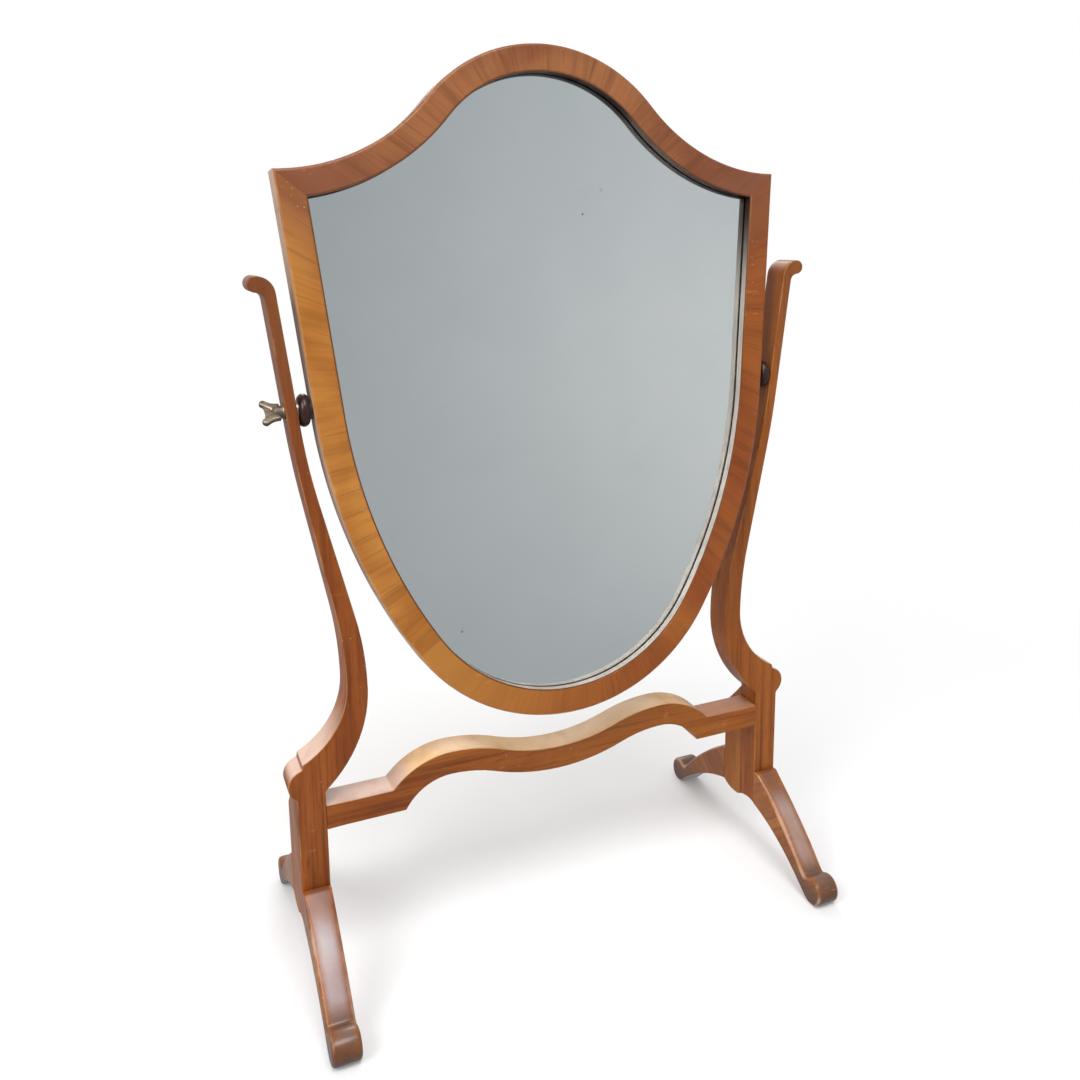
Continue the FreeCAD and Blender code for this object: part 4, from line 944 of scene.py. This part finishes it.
def polished(name, turn, ground, pale, dark, rubbed, fade_and_sheen=None, rough=0.36, coat=0.12, pore_depth=0.5,
             low_darkening=0.0, gloss=0.24, strip=0.0, dulled=None):
    """Polished wood; turn brings the third axis along the grain.

    The colour given for edges that look upwards is partly fading by daylight and partly painted sheen; on a leg it
    is a painted sheen that keeps to a strip along the middle, given by its half width. The height given for
    darkening is how far the colour darkens towards the floor, and dulled is the tone of the upper end.
    """
    material, tree, shader, place = start(name)
    vector = put(tree, "Mapping", s0=place, s2=turn).outputs[0]
    base, relief = use(tree, wood, s0=vector, s1=ground, s2=pale, s3=dark, s4=pore_depth)
    # Edges that look upwards get a paler colour: partly fading by daylight, partly painted sheen and painted light.
    if fade_and_sheen:
        patchy = between(tree, noise(tree, place, 45.0, 4.0), 0.3, 0.6, 0.65, 0.95)
        share = times(tree, between(tree, mark(tree, "up"), 0.15, 0.85), patchy)
        if strip:
            across = maths(tree, "ABSOLUTE", coordinate(tree, place, 0))
            aside = maths(tree, "ABSOLUTE", maths(tree, "SUBTRACT", across, LEG_MIDDLE))
            share = times(tree, share, between(tree, aside, strip, strip * 0.3))
        base = mix(tree, share, base, graded(tree, place, *fade_and_sheen))
    if dulled:
        base = mix(tree, between(tree, coordinate(tree, place, 2), SCROLL_FROM, SCROLL_TO, 0.0, 0.6), base, dulled)
    # Darker towards the floor, up to a ragged height.
    if low_darkening:
        height_jitter = times(tree, noise(tree, place, 60.0, 3.0), low_darkening / 2)
        darkening_height = maths(tree, "ADD", coordinate(tree, place, 2), height_jitter)
        base = mix(tree, between(tree, darkening_height, low_darkening * 1.2, low_darkening * 0.4, 0.0, 0.8), base, LOW_DARK_TONE)
    aged(tree, shader, place, base, relief, rubbed, rough, coat, gloss)
    return material


# %% [markdown]
# ## The woods of the stand
# Both uprights are paler on their knuckles, partly faded and partly painted sheen, and lose their warmth towards
# the scrolls. The stretcher's top is paler, most on its humps, partly bleached and partly painted sheen and painted
# light. The legs have a painted sheen along the middle of their tops, a pale grey-lavender in place of the reflection
# of a window, and their toes darken towards the floor. The bosses are stained black to pass for ebony.

# %% Stand woods
UPWARDS, SIDEWAYS, LEG_SLOPE = (0, 0, 0), (0, np.radians(90), 0), np.radians(52)
STAND_WOOD = dict(ground="7C3A0E", pale="9A5318", dark="4E1F08", rubbed="B5804F")
WARM_WOOD = dict(ground="82400F", pale="A05A1A", dark="54230A", rubbed="B5804F")
# The post blocks are paler and plainer: partly their own tone, partly painted light that brightens their shaded
# sides.
BLOCK_WOOD = dict(ground="8E4C14", pale="A2601E", dark="74400F", rubbed="B5804F")
LEG_WOOD = dict(ground="864410", pale="A05E1E", dark="683610", rubbed="C8A086", coat=0.6, strip=0.0095)
EBONISED = dict(ground="2C1716", pale="3A2220", dark="140A0A", rubbed="5A3A34", rough=0.32, coat=0.3, pore_depth=0.3)
# Colours for edges that look upwards: partly fading by daylight, partly painted sheen and painted light; the pale
# left end of the stretcher's top is painted sheen.
NECK_FADE_AND_SHEEN = (2, "D8BAA8", (0.2, 0.4, "9A6444"))
RAIL_FADE_AND_SHEEN = (0, "CDAE9C", (-0.13, -0.11, "E6BE8C"), (0.11, 0.13, "A8785C"))
# For each side of the leg tops: the colour of a painted sheen along the middle, and the height up to which the toes
# darken.
LEG_SHEEN_AND_FOOT_DARKENING = {"left": ("A8999B", 0.032), "right": ("A58C84", 0.036)}

FINISHES = {
    "left_swan_neck": polished("mahogany_left", UPWARDS, **STAND_WOOD, fade_and_sheen=NECK_FADE_AND_SHEEN, dulled="6E4228"),
    "right_swan_neck": polished("mahogany_right", UPWARDS, **WARM_WOOD, fade_and_sheen=NECK_FADE_AND_SHEEN, dulled="7C4826"),
    "post_back": polished("mahogany_block", UPWARDS, **BLOCK_WOOD, fade_and_sheen=NECK_FADE_AND_SHEEN),
    "serpentine_rail": polished("mahogany_rail", SIDEWAYS, **WARM_WOOD, fade_and_sheen=RAIL_FADE_AND_SHEEN),
    "turned_boss": polished("ebonised_wood", SIDEWAYS, **EBONISED),
}
for side, (sheen_tone, foot_darkening) in LEG_SHEEN_AND_FOOT_DARKENING.items():
    # A painted sheen along the middle of the leg's top, with darker brown below and above it.
    leg_sheen = (2, "74503E", (0.017, 0.03, sheen_tone), (0.052, 0.068, "7A4A34"))
    for place, slope in (("front", -LEG_SLOPE), ("back", LEG_SLOPE)):
        name = "%s_%s_sabre_leg" % (side, place)
        FINISHES[name] = polished("mahogany_" + name, (slope, 0, 0), **LEG_WOOD, fade_and_sheen=leg_sheen, low_darkening=foot_darkening)
print("woods of the stand:", [material.name for material in FINISHES.values()])

# %% [markdown]
# ## Crossbanded frame
# The four parts of the frame were veneered from different leaves. The left side has kept a golden tone, the
# right side and the bottom are warmer, and the crown is redder; the corners have stayed dark. So each part has
# its own colours and its own shear, over the same crossband group. The outer edge of the left side is painted
# pale and greyish: a painted sheen in place of the light that its polish reflects.

# %% Veneer and core
CORNER_TONE, CORNER_SHARE = "7E4A32", 0.7
CROSSBANDS = {
    "top_rail": ("veneer_crown", "7A4226", "9C6239", "562C18", 0.05, CORNER_TONE, "8A5430"),
    "right_stile": ("veneer_right", "843C0A", "9C5417", "5A2706", 0.35, CORNER_TONE, "BE8A58"),
    "bottom_rail": ("veneer_bottom", "8E480E", "A8601E", "622E08", 0.1, "B87C30", "BE8A58"),
    "left_stile": ("veneer_left", "A4621E", "BE7E34", "744010", 0.0, CORNER_TONE, "BE8A58"),
}


def sheet(tree):
    """The length along the frame and the width across it."""
    return put(tree, "UVMap", {"uv_map": "across"}).outputs[0]


def veneered(name, ground, pale, dark, shear, end, rubbed):
    """Crossband veneer; shear is the slope of its grain, end the tone at its marked end, rubbed that of its edges."""
    material, tree, shader, place = start(name)
    length, width, _ = put(tree, "SeparateXYZ", s0=sheet(tree)).outputs
    sheared = maths(tree, "ADD", length, times(tree, width, shear))
    vector = put(tree, "CombineXYZ", s0=sheared, s2=width).outputs[0]
    base, relief = use(tree, band, s0=vector, s1=ground, s2=pale, s3=dark)
    base = mix(tree, times(tree, mark(tree, "corner"), CORNER_SHARE), base, end)
    aged(tree, shader, place, base, relief, rubbed, 0.34, 0.2)
    return material


def core_finish(name, ground, pale, dark):
    """The solid wood behind the crossband, with its grain along the frame and hardly any polish."""
    material, tree, shader, place = start(name)
    vector = put(tree, "Mapping", s0=sheet(tree), s2=SIDEWAYS).outputs[0]
    base, relief = use(tree, wood, s0=vector, s1=ground, s2=pale, s3=dark, s4=0.5)
    aged(tree, shader, place, base, relief, "B89878", 0.5, 0.0, 0.1)
    return material


# %% The finishes of the frame
FINISHES.update({"crossband_" + part: veneered(*looks) for part, looks in CROSSBANDS.items()})
# The left outer edge of the frame is pale and greyish: its colours are painted sheen.
FINISHES["core_left"] = core_finish("frame_core_painted_sheen", "A68A76", "B89E8A", "846A58")
FINISHES["core_"] = core_finish("frame_core_wood", "6A3C20", "84542F", "432412")
print("woods of stand and frame:", len(FINISHES))

# %% [markdown]
# ## Plain woods
# The slip round the sight edge is pale and a little grubby, the backboard is old pine, and the hidden dowels and
# blocks are beech and softwood. They use the same figure group, with no film of polish over it.

# %% Plain woods
# front is a real stain on the slip's front edge; under is painted shade, a dark colour where the slip looks
# downwards.
SLIP_STAIN_AND_SHADE = {"under": "2E190F", "front": "6E3E20"}


def plain(name, turn, ground, pale, dark, rough=0.6, scale=1.0, stains_and_shade=None):
    """Unpolished wood, greyed in smears; the colours laid over it where a mark says so are real stains and painted
    shade.
    """
    material, tree, shader, place = start(name)
    vector = put(tree, "Mapping", s0=place, s2=turn, s3=(scale, scale, scale)).outputs[0]
    base, relief = use(tree, wood, s0=vector, s1=ground, s2=pale, s3=dark, s4=0.4)
    smear = use(tree, handling, s0=place)[0]
    base = mix(tree, between(tree, smear, 0.45, 0.75, 0.0, 0.35), base, dark)
    for where, laid_tone in (stains_and_shade or {}).items():
        base = mix(tree, between(tree, mark(tree, where), 0.2, 0.8), base, laid_tone)
    shade(tree, shader, Base_Color=base, Roughness=between(tree, smear, 0.3, 0.7, rough - 0.08, rough + 0.1),
          Normal=bump(tree, 0.2, FINE_RELIEF, relief))
    return material


FINISHES.update({
    "lining_slip": plain("pale_slip_wood", UPWARDS, "C2BAB0", "D4CDC4", "968C82", 0.5, 1.0, SLIP_STAIN_AND_SHADE),
    "back_panel": plain("old_pine", UPWARDS, "A07A4E", "B8935F", "6E4A2A", 0.6, 0.6),
    "leg_dowels": plain("dowel_beech_wood", (np.radians(90), 0, 0), "B48A60", "C6A078", "8A6440"),
    "glass_blocks": plain("block_softwood_wood", UPWARDS, "B39468", "C7AA7E", "8C6C44"),
})
print("woods in all:", len(FINISHES))

# %% [markdown]
# ## Glass, silver and metal
# The plate is clear, with a faint cast where it was wiped. The silvering is a mirror with small dull spots where
# it has begun to go. The thumbscrew's brass has dulled to a greyish brown and stays bright only on its edges, and
# the backboard screws are grey steel with some rust.

# %% Glass and metals
SPOT_SIZE, METAL_SMEARS, METAL_RELIEF = 60.0, (6, 6, 6), 0.0003


def clear_plate():
    """Clear glass, a shade greener in smears."""
    material, tree, shader, place = start("clear_plate")
    smear = use(tree, handling, s0=place)[0]
    shade(tree, shader, Base_Color=mix(tree, between(tree, smear, 0.2, 0.9), "FEFEFE", "FBFCFB"), Roughness=0.0,
          IOR=1.5, Transmission_Weight=1.0)
    return material


def old_silver():
    """A mirror with dull spots where the silver has gone."""
    material, tree, shader, place = start("old_silver")
    smear = use(tree, handling, s0=place)[0]
    spots = between(tree, cells(tree, place, SPOT_SIZE), 0.09, 0.04)
    gone = times(tree, spots, between(tree, smear, 0.56, 0.7))
    shade(tree, shader, Base_Color=mix(tree, gone, "F1F2F1", "B9B7B0"), Metallic=1.0,
          Roughness=times(tree, gone, 0.5))
    return material


def old_metal(name, bright, dull, rough):
    """Metal that is bright where it is rubbed and dull in smears."""
    material, tree, shader, place = start(name)
    smear = use(tree, handling, s0=stretch(tree, place, METAL_SMEARS))[0]
    worn = use(tree, wear, s0=place, s1=mark(tree, "arris"))[0]
    tarnish = times(tree, between(tree, smear, 0.35, 0.65), maths(tree, "SUBTRACT", 1.0, worn))
    shade(tree, shader, Base_Color=mix(tree, tarnish, bright, dull), Metallic=1.0,
          Roughness=between(tree, tarnish, 0.0, 1.0, rough, rough + 0.25),
          Normal=bump(tree, 0.15, METAL_RELIEF, smear))
    return material


brass = old_metal("handled_brass", "ACA08C", "786B5D", 0.34)
FINISHES.update(dict.fromkeys(["socket_flange", "_ring", "brass_thumbscrew", "round_head_screw"], brass))
FINISHES.update(glass_plate=clear_plate(), silvering=old_silver(),
                panel_screws=old_metal("rusty_steel", "8E8B86", "5B4636", 0.4))
print("finishes in all:", len(set(FINISHES.values())))

# %% [markdown]
# ## Every piece gets its finish
# The finishes are listed by a part of the piece's name, so that pairs and sets share one. Where two fit, the one
# listed first is taken: the pale left edge of the frame, whose colour is painted sheen, comes before the other edges.

# %% Give each piece its finish
for item in [o for o in bpy.data.objects if o.type == "MESH"]:
    found = [material for name, material in FINISHES.items() if name in item.name]
    if found:
        item.data.materials.clear()
        item.data.materials.append(found[0])

# %% [markdown]
# ## Studio
# The floor takes the shadow near the feet and fades to white further out, where the camera sees no more of it. A
# mirror needs something to look at, so a pale cove stands behind the camera: floor, a wide quarter round and a
# wall in one sheet. It is clear to the camera and shows only in glass and metal, where it glows with a painted grey
# that darkens upwards and to one side, in place of a lit room.

# %% Sheets of the studio
def stage_sheet(name, points, material):
    """A sheet of studio furniture from a grid of points, in metres."""
    mesh = bpy.data.meshes.new(name)
    rows, columns = points.shape[:2]
    mesh.from_pydata(points.reshape(-1, 3).tolist(), [], grid_faces(rows, columns, wrap_columns=False))
    mesh.shade_smooth()
    mesh.materials.append(material)
    item = bpy.data.objects.new(name, mesh)
    bpy.context.scene.collection.objects.link(item)
    print("%s: %.1f by %.1f by %.1f m" % (name, *np.ptp(points.reshape(-1, 3), axis=0)))


# %% Tone that the glass mirrors
# Painted light: the grey that glows in glass and metal, lighter low down and darker upwards and to one side.
tone, take, give = new_group("studio_tone", {"Vector": "Vector"}, {"Color": "Color"})
x, _, z = put(tone, "SeparateXYZ", s0=take[0]).outputs
rising = mix(tone, between(tone, z, 0.0, 2.0), "D3D6D8", "B9BFC3")
feed(tone, give[0], mix(tone, between(tone, x, 1.9, -0.3, 0.0, 0.75), rising, "8C9398"))
print("studio tone:", len(tone.nodes), "nodes")


def blend(tree, share, first, second):
    return put(tree, "MixShader", s0=share, s1=first, s2=second).outputs[0]


def glow(tree, shine):
    return put(tree, "Emission", s0=shine, s1=1.0).outputs[0]


def in_glass(tree, rays, surface, grey):
    """A surface that glows evenly in place of its own light where glass and metal look at it."""
    looked_at = maths(tree, "MAXIMUM", rays["Is Glossy Ray"], rays["Is Transmission Ray"])
    return blend(tree, looked_at, surface, glow(tree, grey))


# %% Finishes of floor and cove
SHADOW_REACH, WHITE_FROM, SHADOW_WHITE = 0.3, 0.95, 0.15


def floor_finish():
    """Matt and pale; to the camera it turns to plain white with the distance from the stand."""
    material, tree, shader, place = start("studio_floor")
    shade(tree, shader, Base_Color=mix(tree, noise(tree, place, 3.0, 2.0), "F2F2F2", "F6F6F6"), Roughness=0.9)
    distance = put(tree, "VectorMath", {"operation": "LENGTH"}, s0=place).outputs["Value"]
    rays = put(tree, "LightPath").outputs
    white = between(tree, distance, SHADOW_REACH, WHITE_FROM, SHADOW_WHITE, 1.0)
    surface = blend(tree, times(tree, rays["Is Camera Ray"], white), shader.outputs[0], glow(tree, "FFFFFF"))
    feed(tree, tree.nodes["Material Output"].inputs[0], in_glass(tree, rays, surface, use(tree, tone, s0=place)[0]))
    return material


def cove_finish():
    """Pale grey that darkens upwards and to one side, and is clear to the camera."""
    material, tree, shader, place = start("studio_cove")
    grey = use(tree, tone, s0=place)[0]
    shade(tree, shader, Base_Color=grey, Roughness=0.9)
    rays = put(tree, "LightPath").outputs
    lit = in_glass(tree, rays, shader.outputs[0], grey)
    clear = put(tree, "BsdfTransparent").outputs[0]
    feed(tree, tree.nodes["Material Output"].inputs[0], blend(tree, rays["Is Camera Ray"], lit, clear))
    return material


# %% Floor and cove
FLOOR, COVE_START, COVE_R, COVE_TOP, COVE_LIFT, COVE_SIDES = 6.0, -1.0, 1.6, 3.4, 0.002, (-3.0, 6.0)

edge = np.array([-FLOOR, FLOOR])
stage_sheet("floor", np.stack(np.broadcast_arrays(edge[:, None], edge[None, :], 0.0), -1), floor_finish())
angle = np.linspace(0, np.pi / 2, 33)
cove_y = np.concatenate([COVE_START - COVE_R * np.sin(angle), [COVE_START - COVE_R]])
cove_z = np.concatenate([COVE_LIFT + COVE_R * (1 - np.cos(angle)), [COVE_TOP]])
cove = np.stack(np.broadcast_arrays(np.array(COVE_SIDES)[:, None], cove_y, cove_z), -1)
stage_sheet("cove", cove, cove_finish())

# %% [markdown]
# ## Light
# Large soft lamps from the left front and from above give the plain light of the picture, and a small one behind
# the stand puts the sheen on the stretcher's top. Light that has passed the glass doesn't meet the lamps, so the
# mirror doesn't show them. The world is white to the camera and dimmer as a lamp, so that the shadow stays.

# %% World
WORLD_LIGHT, WORLD_SEEN = 0.6, 0.4

world = bpy.data.worlds.new("studio")
bpy.context.scene.world = world
world.use_nodes = True
sky = world.node_tree
rays = put(sky, "LightPath").outputs
looked_at = maths(sky, "MAXIMUM", rays["Is Camera Ray"], rays["Is Transmission Ray"])
strength = maths(sky, "ADD", WORLD_LIGHT, times(sky, looked_at, WORLD_SEEN))
shade(sky, sky.nodes["Background"], Color="FFFFFF", Strength=strength)
print("world: %.1f as a lamp, %.1f as seen" % (WORLD_LIGHT, WORLD_LIGHT + WORLD_SEEN))

# %% Lamps
LAMPS = {  # place, aim, width, height, power
    "key": ((-1.8, -0.9, 1.7), (0, 0, 0.35), 1.3, 1.3, 32),
    "top": ((-0.1, -1.0, 2.2), (0, 0, 0.2), 1.0, 1.0, 24),
    "back": ((0.5, 1.8, 1.4), (0, 0, 0.15), 1.2, 0.6, 12),
}

for name, (place, aim, width, height, power) in LAMPS.items():
    lamp = bpy.data.lights.new(name, "AREA")
    lamp.shape, lamp.size, lamp.size_y, lamp.energy = "RECTANGLE", width, height, power
    item = bpy.data.objects.new(name, lamp)
    way = Vector(place) - Vector(aim)
    item.matrix_world = Matrix.Translation(place) @ way.to_track_quat("Z", "Y").to_matrix().to_4x4()
    item.visible_camera = item.visible_transmission = False
    bpy.context.scene.collection.objects.link(item)
    print("lamp %s: %d W from %.1f m" % (name, power, way.length))

# %% [markdown]
# ## Camera
# The camera stands in front and to the left, a little above the pivot axis, where the lines of frame, posts and
# feet fall as they do in the picture. Its angles are a turn about Z, a tilt and a slight roll.

# %% Camera
VIEW_PLACE, YAW, TILT, ROLL = (-0.2901, -0.6599, 0.5270), -0.398, -0.180, 0.013
SENSOR, FOCAL, SHIFT_X, SHIFT_Y = 36.0, 33.0, 0.0093, -0.1204

lens = bpy.data.cameras.new("view")
lens.sensor_width, lens.lens, lens.shift_x, lens.shift_y = SENSOR, FOCAL, SHIFT_X, SHIFT_Y
lens.clip_start = 0.01
view = bpy.data.objects.new("view", lens)
turn = Matrix.Rotation(YAW, 4, "Z") @ Matrix.Rotation(TILT, 4, "X") @ Matrix.Rotation(ROLL, 4, "Y")
view.matrix_world = Matrix.Translation(VIEW_PLACE) @ turn @ Matrix.Rotation(np.pi / 2, 4, "X")
bpy.context.scene.collection.objects.link(view)
bpy.context.scene.camera = view
bpy.context.scene.view_settings.view_transform = "Standard"
print("field of view: %.1f degrees" % np.degrees(lens.angle))
